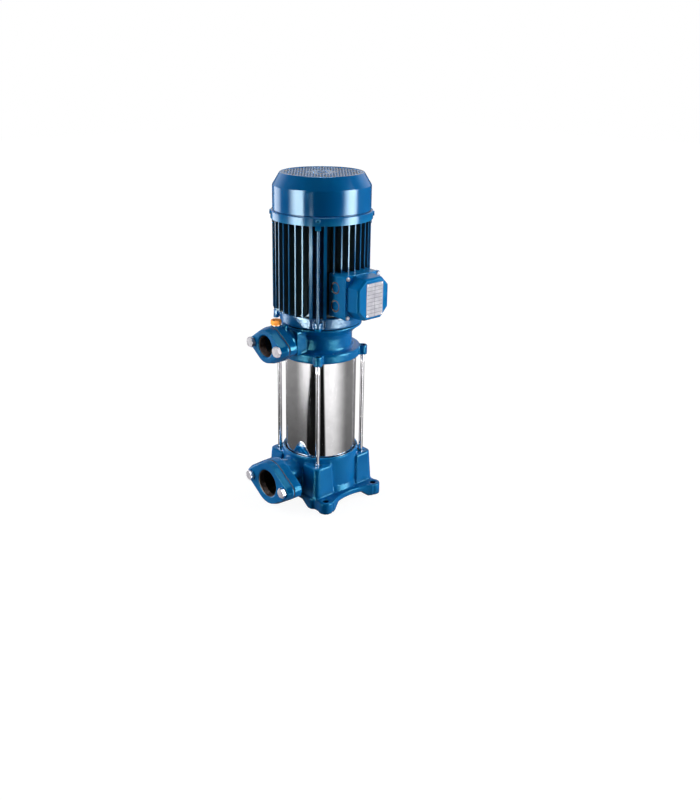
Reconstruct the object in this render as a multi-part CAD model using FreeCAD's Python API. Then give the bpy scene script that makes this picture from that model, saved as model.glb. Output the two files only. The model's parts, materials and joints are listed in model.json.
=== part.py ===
import FreeCAD, Part
import math
import os

from FreeCAD import Vector

# Vertical multistage pump with its motor, in millimetres.
# The origin lies on the pump axis in the plane of the feet, and +Z points up.
# Both ports face -X, the terminal box faces -Y, and the tie rods stand on the diagonals.

# Fits and clearances
slip = 0.05
running = 0.3
shaft_fit = 0.05
cutter_overrun = 20.0

# Outer sleeve and its flat gaskets
sleeve_r = 66.0
sleeve_wall = 1.5
sleeve_length = 198.0
sleeve_gasket = 1.5

# Feet and foot plate
foot_bolt_x = 60.0
foot_bolt_y = 85.0
foot_bolt_r = 5.5
foot_lobe_r = 13.5
foot_height = 21.5
plate_block_y = 66.0
plate_corner_r = 8.0
waist_margin = 7.5
waist_join_x = 50.0
waist_join_margin = 11.6
arch_height = 11.0
arch_x_flat = 30.0
arch_x_foot = 42.0
arch_y_flat = 36.0
arch_y_foot = 52.0

# Base body, rod bosses and suction chamber
rim_wall = 6.0
body_flare = 4.0
rim_top_z = 91.5
boss_reach_in = 23.9
boss_reach_out = 15.1
boss_draft = 3.2
boss_top_z = 80.3
boss_corner_r = 12.0
boss_edge_r = 3.0
boss_chamfer = 1.6
seat_ledge = 10.0
chamber_floor_z = 19.5
sleeve_seat_z = 83.5

# Ports: the centre heights, the planes along X, and the sizes of the oval flanges
suction_z = 47.5
suction_face_x = -130.3
suction_joint_x = -117.0
suction_back_x = -99.0
suction_bore_r = 25.4
suction_mouth_r = 27.2
suction_neck_wall = 6.5
suction_hub_r = 42.5
suction_ear_r = 16.5
suction_ear_y = 48.0
suction_bolt_y = 47.6
delivery_z = 314.8
delivery_face_x = -131.0
delivery_joint_x = -114.0
delivery_back_x = -97.0
delivery_bore_r = 19.5
delivery_mouth_r = 20.8
delivery_hub_r = 33.3
delivery_ear_r = 12.5
delivery_ear_y = 37.0
delivery_bolt_y = 37.0
flange_draft = 3.2
gasket_thickness = 1.5
mouth_chamfer = 1.5

# Flange bolts, M10
flange_bolt_r = 5.0
flange_bolt_flats = 17.0
flange_bolt_head = 6.5
flange_bolt_grip = 28.0
flange_bolt_tip_gap = 2.0

# Tie rods, M8
rod_gap = 7.64
rod_r = 4.0
rod_pocket_r = 10.0
rod_nut_flats = 13.0
rod_nut_height = 6.5
rod_washer_r = 8.0
rod_washer_height = 1.6
rod_pocket_top_z = 25.0
rod_end_below_top = 3.5

# Pump head
disc_overhang = 6.6
disc_bottom_z = 276.2
disc_top_z = 293.5
collar_step = 15.1
collar_wall = 7.5
collar_top_z = 322.5
flange_overhang = 2.4
flange_edge = 2.0
head_flange_z = 336.2
head_top_z = 340.5
head_chamber_top_z = 322.0
skirt_wall = 4.0
ear_r = 8.3
ear_bottom_z = 275.4
ear_recess_r = 5.6
neck_throat_r = 24.5
neck_half_width = 28.0
neck_front_x = -80.0
neck_end_gap = 1.9
neck_root_half_width = 23.0
neck_bottom_z = 292.0
neck_top_z = 338.5
neck_arch_r = 20.0
neck_arch_x = -57.0
neck_arch_z = 282.0
neck_passage_r = 19.0

# Bleed plug on the delivery flange, and the blank boss beside it
bleed_x = -105.5
bleed_boss_r = 9.0
bleed_seat_z = 349.5
bleed_thread_r = 4.9
bleed_depth = 8.5
bleed_vent_r = 2.0
bleed_washer_r = 8.0
bleed_washer_height = 1.0
bleed_flats = 17.0
bleed_head_height = 9.0
blank_boss_x = -89.5
blank_boss_y = -4.0
blank_boss_r = 6.2
blank_boss_top_z = 348.5

# Stages
stage_count = 6
stage_pitch = 30.0
inlet_plate_height = 4.5
casing_wall = 2.0
casing_floor = 2.2
eye_r = 20.0
diaphragm_rise = 15.5
diaphragm_height = 2.0
diaphragm_r = 53.0
return_vane_count = 6
return_vane_inner_r = 24.0
impeller_r = 47.0
impeller_vane_count = 5
impeller_rise = 3.0
impeller_shroud = 1.5
impeller_channel = 6.0
hub_r = 12.0
vane_thickness = 1.8

# Shaft
pump_shaft_r = 8.0
thread_end_r = 6.0
shaft_bottom_z = 62.0
shaft_nut_height = 9.0
shaft_nut_flats = 19.0
seal_shaft_r = 10.0
lower_seat_r = 12.5
rotor_shaft_r = 15.0
upper_seat_r = 10.0
fan_seat_r = 8.5
shaft_tail = 9.8

# Mechanical seal
seal_pocket_r = 16.0
seal_pocket_top_z = 330.0
seal_seat_bore_r = 10.8
seal_ring_height = 8.0
seal_ring_r = 15.0
seal_spring_r = 13.6
seal_spring_height = 13.0

# Lower end shield
shield_band_step = 1.0
shield_seat_step = 3.0
shield_bottom_z = 341.5
shield_top_z = 363.5
shield_floor = 5.0
lug_reach_r = 88.0
lug_half_width = 8.0
lug_bottom_z = 346.8
lug_top_z = 357.5
lug_groove_r = 2.4
lug_groove_bottom_z = 344.5
lug_groove_top_z = 360.0
shield_screw_place = 48.0
shield_screw_r = 3.0
shield_screw_head_r = 5.0
shield_screw_head = 3.5
shield_screw_reach = 8.0
spigot_height = 6.0
spigot_wall = 3.5

# Ball bearings: outer radius, width and ring thickness
lower_bearing_r = 26.0
lower_bearing_width = 15.0
upper_bearing_r = 23.5
upper_bearing_width = 14.0
race_wall = 4.0
wave_washer_height = 1.2

# Motor frame and fins
frame_r = 70.0
frame_wall = 7.0
frame_top_z = 530.0
fin_start_z = 366.5
fin_height = 18.4
fin_tip_thickness = 2.2
fin_root_thickness = 3.4
fin_pitch_deg = 9.0
fins_beside_axis = 3
rib_offset_deg = 8.2
rib_thickness = 5.4
fin_clearance = 3.4

# Motor tie bolts, M6
motor_bolt_place = 83.0
motor_bolt_r = 3.0
motor_bolt_flats = 10.0
motor_bolt_head = 4.5
motor_bolt_top_z = 534.5

# Upper end shield
upper_shield_top_z = 542.0
upper_shield_floor = 5.5
upper_shield_rim = 5.0
upper_hub_wall = 5.5
upper_lug_half_width = 5.0
upper_lug_depth = 8.0
upper_cap = 3.0

# Rotor and stator
stator_depth = 22.95
air_gap = 0.4
core_bottom_z = 396.0
core_top_z = 500.0
winding_height = 19.0
winding_margin = 3.0

# Cooling fan
fan_bottom_z = 555.0
fan_gap = 22.0
fan_disc = 2.4
fan_blade_height = 24.0
fan_blade_thickness = 2.2
fan_blade_tip_run = 14.0
fan_blade_count = 9
fan_hub_r = 16.0
ring_height = 1.2
ring_r = 12.0

# Fan cover
cover_lip_step = 3.4
cover_lip_top_z = 544.5
cover_r = 88.0
cover_groove = 0.9
cover_shoulder_z = 588.4
cover_cone_run = 13.3
cover_top_z = 610.7
cover_wall = 1.5
grille_margin = 8.7
grille_centre_r = 21.0
grille_hole_flats = 6.2
grille_pitch = 10.0
cover_screw_z = 538.5
cover_screw_r = 2.5
cover_screw_head_r = 4.4
cover_screw_head = 2.4
cover_screw_reach = 5.5

# Terminal box
box_half_x = 40.0
box_centre_z = 407.9
box_half_z = 39.0
box_back_inset = 4.0
box_depth = 37.4
box_pad_depth = 15.0
box_wall = 3.5
box_corner_r = 5.0
box_gasket = 1.0
lead_hole_r = 14.0
gasket_window_cut = 9.0
lid_half_x = 41.0
lid_half_z = 39.5
lid_plate = 5.0
lid_rise = 33.3
lid_oct_half_x = 35.5
lid_oct_half_z = 36.0
lid_oct_cut = 16.4
lid_draft = 2.2
lid_edge_r = 3.0
lid_wall = 3.0
lid_screw_x = 35.6
lid_screw_z = 34.4
lid_screw_r = 2.5
lid_screw_head_r = 4.3
lid_screw_head = 2.6
lid_screw_reach = 10.0
lid_post_r = 5.2
knockout_setback = 16.0
knockout_rise = 14.7
knockout_spacing = 32.4
knockout_r = 11.0
knockout_depth = 2.0
block_half_x = 26.0
block_half_z = 14.0
block_height = 14.0
stud_r = 2.5
stud_height = 11.0
stud_pitch = 16.0
stud_row = 7.0

DIAGONALS = [(-1, -1), (1, -1), (1, 1), (-1, 1)]
AXIS_Z = Vector(0, 0, 1)
ORIGIN = Vector(0, 0, 0)

# Sizes that follow from the sleeve, the tie rods and the feet
body_r = sleeve_r + rim_wall
flare_r = body_r + body_flare
chamber_r = sleeve_r - seat_ledge
disc_r = sleeve_r + disc_overhang
rod_circle_r = sleeve_r + rod_gap + rod_r
rod_place = rod_circle_r / math.sqrt(2)
boss_inner = rod_place - boss_reach_in
boss_outer = rod_place + boss_reach_out
waist_y = flare_r + waist_margin
waist_join_y = foot_bolt_y + waist_join_margin

# Sizes of the head and of the shield on it
collar_r = disc_r - collar_step
head_chamber_r = collar_r - collar_wall
head_flange_r = disc_r + flange_overhang
cone_top_r = head_flange_r - flange_edge
neck_end_x = -collar_r - neck_end_gap
shield_band_r = head_flange_r + shield_band_step
shield_seat_r = head_flange_r - shield_seat_step

# Sizes that follow from the motor frame and the fan cover
stator_r = frame_r - frame_wall - slip
stator_bore_r = stator_r - stator_depth
winding_inner_r = stator_bore_r + winding_margin
winding_outer_r = stator_r - winding_margin
fin_tip_r = frame_r + fin_height
cover_lip_r = cover_r + cover_lip_step
cover_rim_r = cover_r - cover_cone_run
grille_r = cover_rim_r - grille_margin
fan_r = cover_r - fan_gap
box_back_y = -(frame_r - box_back_inset)
box_rim_y = box_back_y - box_depth
lid_face_y = box_rim_y - lid_rise
knockout_y = box_back_y - knockout_setback


def plan(z):
    return lambda u, v: Vector(u, v, z)


def across_x(x):
    return lambda u, v: Vector(x, u, v)


def across_y(y):
    return lambda u, v: Vector(u, y, v)


def rounded_wire(corners, place, chamfered=False):
    """Closed wire through corners (u, v) or (u, v, radius), with tangent arcs or with chamfers."""
    entries = []
    for index, corner in enumerate(corners):
        here = Vector(corner[0], corner[1], 0)
        radius = corner[2] if len(corner) > 2 else 0.0
        if radius == 0.0:
            entries.append((here, None, here))
            continue
        last = corners[index - 1]
        following = corners[(index + 1) % len(corners)]
        back = (Vector(last[0], last[1], 0) - here).normalize()
        ahead = (Vector(following[0], following[1], 0) - here).normalize()
        if chamfered:
            entries.append((here + back * radius, None, here + ahead * radius))
            continue
        half = back.getAngle(ahead) / 2
        reach = radius / math.tan(half)
        depth = radius / math.sin(half) - radius
        bisector = (back + ahead).normalize()
        entries.append((here + back * reach, here + bisector * depth, here + ahead * reach))
    edges = []
    for index, (start, middle, end) in enumerate(entries):
        if middle is not None:
            points = [place(p.x, p.y) for p in (start, middle, end)]
            edges.append(Part.Arc(*points).toShape())
        elif (end - start).Length > 1e-6:
            edges.append(Part.makeLine(place(start.x, start.y), place(end.x, end.y)))
        onward = entries[(index + 1) % len(entries)][0]
        if (onward - end).Length > 1e-6:
            edges.append(Part.makeLine(place(end.x, end.y), place(onward.x, onward.y)))
    return Part.Wire(edges)


def upright(shape):
    """The shape with its faces pointing outwards."""
    if shape.Volume < 0:
        shape.reverse()
    return shape


def prism(corners, place, along):
    return upright(Part.Face(rounded_wire(corners, place)).extrude(along))


def turned(corners):
    """Solid of revolution about Z with corners (r, z) or, with a chamfer, (r, z, size)."""
    face = Part.Face(rounded_wire(corners, lambda u, v: Vector(u, 0, v), chamfered=True))
    return upright(face.revolve(ORIGIN, AXIS_Z, 360))


def rod(radius, z0, z1, x=0.0, y=0.0):
    return Part.makeCylinder(radius, z1 - z0, Vector(x, y, z0), AXIS_Z)


def tube(outer, inner, z0, z1):
    return rod(outer, z0, z1).cut(rod(inner, z0 - 1, z1 + 1))


def rod_x(radius, x0, x1, y, z):
    return Part.makeCylinder(radius, x1 - x0, Vector(x0, y, z), Vector(1, 0, 0))


def rod_y(radius, y0, y1, x, z):
    return Part.makeCylinder(radius, y1 - y0, Vector(x, y0, z), Vector(0, 1, 0))


def block(x0, x1, y0, y1, z0, z1):
    return Part.makeBox(x1 - x0, y1 - y0, z1 - z0, Vector(x0, y0, z0))


def rectangle(half_u, half_v, radius=0.0, centre_v=0.0):
    return [
        (-half_u, centre_v - half_v, radius),
        (half_u, centre_v - half_v, radius),
        (half_u, centre_v + half_v, radius),
        (-half_u, centre_v + half_v, radius),
    ]


def octagon(half_u, half_v, cut, radius=0.0):
    return [
        (-half_u + cut, -half_v, radius),
        (half_u - cut, -half_v, radius),
        (half_u, -half_v + cut, radius),
        (half_u, half_v - cut, radius),
        (half_u - cut, half_v, radius),
        (-half_u + cut, half_v, radius),
        (-half_u, half_v - cut, radius),
        (-half_u, -half_v + cut, radius),
    ]


def hexagon(flats, centre_u=0.0, centre_v=0.0):
    corner = flats / math.sqrt(3)
    turns = [math.radians(60 * n + 30) for n in range(6)]
    return [(centre_u + corner * math.cos(t), centre_v + corner * math.sin(t)) for t in turns]


def hex_head(flats, z0, z1, x=0.0, y=0.0):
    """Hexagonal head or nut along Z, its corners chamfered by a cone at the top."""
    solid = prism(hexagon(flats), plan(z0), Vector(0, 0, z1 - z0))
    corner = flats / math.sqrt(3)
    bevel = (corner - flats / 2) * 0.6
    round_top = turned([(0, z0), (corner, z0), (corner, z1 - bevel), (corner - bevel * 1.7, z1), (0, z1)])
    solid = solid.common(round_top)
    solid.translate(Vector(x, y, 0))
    return solid


def joined(shapes):
    return shapes[0].multiFuse(shapes[1:]).removeSplitter()


def turned_copy(shape, degrees):
    copy = shape.copy()
    copy.rotate(ORIGIN, AXIS_Z, degrees)
    return copy


def moved(shape, x=0.0, y=0.0, z=0.0):
    copy = shape.copy()
    copy.translate(Vector(x, y, z))
    return copy


def on_diagonals(shape):
    """Four copies of a shape that was made on the +X axis, one on each diagonal."""
    return [turned_copy(shape, 45 + 90 * n) for n in range(4)]


def at_rods(shape):
    """Four copies of a shape that was made on the Z axis, one at each tie rod."""
    return [moved(shape, x=sx * rod_place, y=sy * rod_place) for sx, sy in DIAGONALS]


def oval(hub_r, ear_r, ear_y, centre_z, place):
    """Outline of a two-bolt flange: a hub circle and two ear circles with their tangent lines."""
    lean = math.asin((hub_r - ear_r) / ear_y)
    side, rise = math.sin(lean), math.cos(lean)

    def point(centre, radius, u, v):
        return place(centre + radius * u, centre_z + radius * v)

    edges = []
    for sign in (1, -1):
        hub_end = point(0, hub_r, sign * side, sign * rise)
        ear_start = point(sign * ear_y, ear_r, sign * side, sign * rise)
        ear_tip = point(sign * ear_y, ear_r, sign, 0)
        ear_end = point(sign * ear_y, ear_r, sign * side, -sign * rise)
        under_start = point(0, hub_r, sign * side, -sign * rise)
        under_tip = point(0, hub_r, 0, -sign)
        under_end = point(0, hub_r, -sign * side, -sign * rise)
        edges.append(Part.makeLine(hub_end, ear_start))
        edges.append(Part.Arc(ear_start, ear_tip, ear_end).toShape())
        edges.append(Part.makeLine(ear_end, under_start))
        edges.append(Part.Arc(under_start, under_tip, under_end).toShape())
    return Part.Wire(edges)


def flange_body(hub_r, ear_r, ear_y, centre_z, front_x, back_x):
    face = Part.Face(oval(hub_r, ear_r, ear_y, centre_z, across_x(front_x)))
    return upright(face.extrude(Vector(back_x - front_x, 0, 0)))


def counter_flange(hub_r, ear_r, ear_y, bolt_y, centre_z, face_x, joint_x, bore_r, mouth_r):
    """Threaded oval counter flange, drafted from the joint to its smaller front face."""
    back_x = joint_x - gasket_thickness / 2
    slope_x = back_x - (back_x - face_x) * 0.22
    land = flange_body(hub_r, ear_r, ear_y, centre_z, slope_x, back_x)
    draft = Part.makeLoft(
        [
            oval(hub_r, ear_r, ear_y, centre_z, across_x(slope_x)),
            oval(hub_r - flange_draft, ear_r - flange_draft, ear_y - 1.0, centre_z, across_x(face_x)),
        ],
        True,
        True,
    )
    solid = joined([upright(draft), land])
    bore = rod_x(bore_r, face_x - 1, back_x + 1, 0, centre_z)
    mouth = Part.makeCone(
        mouth_r, bore_r, mouth_chamfer, Vector(face_x, 0, centre_z), Vector(1, 0, 0)
    )
    tools = [bore, mouth]
    for side in (-1, 1):
        tools.append(rod_x(flange_bolt_r + 0.5, face_x - 1, back_x + 1, side * bolt_y, centre_z))
    return solid.cut(Part.makeCompound(tools))


def flange_gasket(hub_r, ear_r, ear_y, bolt_y, centre_z, joint_x, bore_r):
    half = gasket_thickness / 2
    solid = flange_body(hub_r - 0.4, ear_r - 0.4, ear_y, centre_z, joint_x - half, joint_x + half)
    tools = [rod_x(bore_r, joint_x - 2, joint_x + 2, 0, centre_z)]
    for side in (-1, 1):
        tools.append(rod_x(flange_bolt_r + 0.5, joint_x - 2, joint_x + 2, side * bolt_y, centre_z))
    return solid.cut(Part.makeCompound(tools))


def flange_bolts(face_x, bolt_y, centre_z):
    """Two hexagon bolts whose heads bear on the face of the counter flange."""
    head = hex_head(flange_bolt_flats, 0, flange_bolt_head)
    shank = rod(flange_bolt_r, -flange_bolt_grip, 0)
    bolt = joined([head, shank])
    bolt.rotate(ORIGIN, Vector(0, 1, 0), -90)
    return [moved(bolt, x=face_x, y=side * bolt_y, z=centre_z) for side in (-1, 1)]


def bolt_pockets(face_x, bolt_y, centre_z):
    """Blind holes for the flange bolts, a little deeper than the bolts reach."""
    depth = flange_bolt_grip + flange_bolt_tip_gap
    radius = flange_bolt_r + slip
    return [rod_x(radius, face_x, face_x + depth, side * bolt_y, centre_z) for side in (-1, 1)]


# Base with foot plate, rod bosses and suction chamber
def foot_plate():
    z_plan = plan(0)
    up = Vector(0, 0, foot_height)
    middle = prism(rectangle(flare_r, plate_block_y, plate_corner_r), z_plan, up)
    rise = waist_join_y - waist_y
    arc_r = (waist_join_x ** 2 + rise ** 2) / (2 * rise)
    bridge = prism(rectangle(waist_join_x, waist_join_y), z_plan, up)
    tools = []
    for side in (-1, 1):
        tools.append(rod(arc_r, -1, foot_height + 1, 0, side * (waist_y + arc_r)))
    bridge = bridge.cut(Part.makeCompound(tools))
    pieces = [middle, bridge]
    for sx, sy in DIAGONALS:
        pieces.append(rod(foot_lobe_r, 0, foot_height, sx * foot_bolt_x, sy * foot_bolt_y))
        web = prism(
            [
                (sx * waist_join_x * 0.7, sy * plate_block_y * 0.8),
                (sx * (foot_bolt_x + foot_lobe_r * 0.82), sy * plate_block_y * 0.8),
                (sx * (foot_bolt_x + foot_lobe_r * 0.82), sy * foot_bolt_y),
                (sx * waist_join_x * 0.7, sy * foot_bolt_y),
            ],
            z_plan,
            up,
        )
        pieces.append(web)
    plate = joined(pieces)
    arch_long = prism(
        [
            (-arch_x_foot - 2, -2),
            (arch_x_foot + 2, -2),
            (arch_x_flat, arch_height, 5.0),
            (-arch_x_flat, arch_height, 5.0),
        ],
        across_y(-waist_join_y - cutter_overrun),
        Vector(0, 2 * (waist_join_y + cutter_overrun), 0),
    )
    arch_short = prism(
        [
            (-arch_y_foot - 2, -2),
            (arch_y_foot + 2, -2),
            (arch_y_flat, arch_height, 5.0),
            (-arch_y_flat, arch_height, 5.0),
        ],
        across_x(-flare_r - cutter_overrun),
        Vector(2 * (flare_r + cutter_overrun), 0, 0),
    )
    return plate.cut(Part.makeCompound([arch_long, arch_short]))


def rod_boss():
    """One square boss with a drafted outer wall and a chamfered top, for the +X +Y corner."""
    bottom_z = arch_height + 2

    def outline(grow, z):
        high = boss_outer + grow
        low = boss_inner - grow
        corners = [
            (low, low),
            (high, low, boss_edge_r),
            (high, high, boss_corner_r),
            (low, high, boss_edge_r),
        ]
        return rounded_wire(corners, plan(z))

    edge = outline(0, boss_top_z - boss_chamfer)
    flank = Part.makeLoft([outline(boss_draft, bottom_z), edge], True, True)
    top = Part.makeLoft([edge, outline(-boss_chamfer, boss_top_z)], True, True)
    return joined([upright(flank), upright(top)])


def pump_base():
    body = turned(
        [
            (0, arch_height),
            (flare_r, arch_height),
            (flare_r, foot_height),
            (body_r + 0.6, foot_height + body_flare * 1.3, 6.0),
            (body_r, rim_top_z, 1.2),
            (sleeve_r + 0.6, rim_top_z, 0.6),
            (sleeve_r + 0.6, sleeve_seat_z),
            (chamber_r, sleeve_seat_z),
            (chamber_r, chamber_floor_z, 6.0),
            (0, chamber_floor_z),
        ]
    )
    boss = rod_boss()
    bosses = [turned_copy(boss, 90 * n) for n in range(4)]
    neck_r = suction_mouth_r + suction_neck_wall
    neck = rod_x(neck_r, suction_back_x - 1, -chamber_r, 0, suction_z)
    flange = flange_body(
        suction_hub_r,
        suction_ear_r,
        suction_ear_y,
        suction_z,
        suction_joint_x + gasket_thickness / 2,
        suction_back_x,
    )
    solid = joined([body, foot_plate(), neck, flange] + bosses)
    tools = [
        rod(chamber_r, chamber_floor_z + 6, sleeve_seat_z + 1),
        rod(sleeve_r + 0.6, sleeve_seat_z, rim_top_z + 1),
        rod_x(suction_mouth_r, suction_joint_x - 1, -chamber_r / 2, 0, suction_z),
    ]
    tools += bolt_pockets(suction_face_x, suction_bolt_y, suction_z)
    for sx, sy in DIAGONALS:
        tools.append(rod(rod_r + slip, 0, boss_top_z + 1, sx * rod_place, sy * rod_place))
        tools.append(rod(rod_pocket_r, 0, rod_pocket_top_z, sx * rod_place, sy * rod_place))
        tools.append(rod(foot_bolt_r, -1, foot_height + 1, sx * foot_bolt_x, sy * foot_bolt_y))
    return solid.cut(Part.makeCompound(tools)).removeSplitter()


# Sleeve and its gaskets
sleeve_bottom_z = sleeve_seat_z + sleeve_gasket
sleeve_top_z = sleeve_bottom_z + sleeve_length
sleeve_inner_r = sleeve_r - sleeve_wall


def sleeve_gasket_ring(z0):
    return tube(sleeve_r + 0.2, sleeve_inner_r - 0.1, z0, z0 + sleeve_gasket)


# Stage stack
inlet_top_z = sleeve_seat_z + inlet_plate_height
stack_top_z = inlet_top_z + stage_count * stage_pitch
stack_r = sleeve_inner_r - running
casing_inner_r = stack_r - casing_wall


def stage_z(index):
    return inlet_top_z + index * stage_pitch


def curved_vane(r0, r1, sweep_deg, thickness, z0, z1):
    """One vane along a circular arc that leaves radius r0 and reaches r1 after sweep_deg."""
    start = Vector(r0, 0, 0)
    sweep = math.radians(sweep_deg)
    end = Vector(r1 * math.cos(sweep), r1 * math.sin(sweep), 0)
    mean = r0 + (r1 - r0) * 0.42
    middle = Vector(mean * math.cos(sweep / 2), mean * math.sin(sweep / 2), 0)
    centre = Part.Arc(start, middle, end).toShape().Curve.Center

    def shifted(point, offset):
        outward = (point - centre).normalize()
        moved_point = point + outward * offset
        return Vector(moved_point.x, moved_point.y, z0)

    half = thickness / 2
    outer = [shifted(p, half) for p in (start, middle, end)]
    inner = [shifted(p, -half) for p in (end, middle, start)]
    wire = Part.Wire(
        [
            Part.Arc(*outer).toShape(),
            Part.makeLine(outer[2], inner[0]),
            Part.Arc(*inner).toShape(),
            Part.makeLine(inner[2], outer[0]),
        ]
    )
    return upright(Part.Face(wire).extrude(Vector(0, 0, z1 - z0)))


def spaced(shape, count):
    return [turned_copy(shape, 360.0 * n / count) for n in range(count)]


def inlet_plate():
    """Plate under the first stage: a rim, a hub for the shaft sleeve and three arms."""
    rim = tube(stack_r, chamber_r - 6, sleeve_seat_z, inlet_top_z)
    hub = rod(hub_r + 5, sleeve_seat_z, inlet_top_z)
    arm = block(0, chamber_r - 4, -4, 4, sleeve_seat_z, inlet_top_z)
    bore = rod(hub_r + running, sleeve_seat_z - 1, inlet_top_z + 1)
    return joined([rim, hub] + spaced(arm, 3)).cut(bore)


def stage_casing():
    """Bowl with a floor round the impeller eye, and a diaphragm held by return vanes."""
    z = stage_z(0)
    shelf_z = z + diaphragm_rise
    bowl = turned(
        [
            (eye_r + running, z),
            (stack_r, z),
            (stack_r, z + stage_pitch),
            (casing_inner_r, z + stage_pitch),
            (casing_inner_r, z + casing_floor, 3.0),
            (eye_r + running, z + casing_floor),
        ]
    )
    shelf = tube(diaphragm_r, hub_r + running, shelf_z, shelf_z + diaphragm_height)
    vane = curved_vane(
        return_vane_inner_r,
        casing_inner_r + 1.0,
        38.0,
        vane_thickness,
        shelf_z + diaphragm_height - 0.3,
        z + stage_pitch - 0.2,
    )
    return joined([bowl, shelf] + spaced(vane, return_vane_count))


def impeller():
    """Closed impeller: eye ring, two shrouds, curved vanes and a hub that meets the next one."""
    z = stage_z(0)
    low = z + impeller_rise
    channel_low = low + impeller_shroud
    channel_top = channel_low + impeller_channel
    top = channel_top + impeller_shroud
    eye_wall = 2.2
    front = turned(
        [
            (eye_r - eye_wall, z + 0.2),
            (eye_r, z + 0.2),
            (eye_r, low),
            (impeller_r, low),
            (impeller_r, channel_low),
            (eye_r - eye_wall, channel_low),
        ]
    )
    back = rod(impeller_r, channel_top, top)
    hub = rod(hub_r, low, low + stage_pitch)
    vane = curved_vane(
        hub_r + 5.0,
        impeller_r - 0.6,
        62.0,
        vane_thickness,
        channel_low - 0.3,
        channel_top + 0.3,
    )
    solid = joined([front, back, hub] + spaced(vane, impeller_vane_count))
    return solid.cut(rod(pump_shaft_r + shaft_fit, z - 1, low + stage_pitch + 1))


stack_end_z = stage_z(stage_count) + impeller_rise
shaft_nut_top_z = shaft_bottom_z + 3.0 + shaft_nut_height


def at_stages(shape):
    return [moved(shape, z=n * stage_pitch) for n in range(stage_count)]


def lower_shaft_sleeve():
    z1 = stage_z(0) + impeller_rise
    return tube(hub_r, pump_shaft_r + shaft_fit, shaft_nut_top_z, z1)


def shaft_end_nut():
    nut = hex_head(shaft_nut_flats, shaft_nut_top_z - shaft_nut_height, shaft_nut_top_z)
    return nut.cut(rod(thread_end_r + shaft_fit, 0, shaft_nut_top_z + 1))


# Pump head
rod_top_z = disc_top_z - rod_end_below_top


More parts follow.
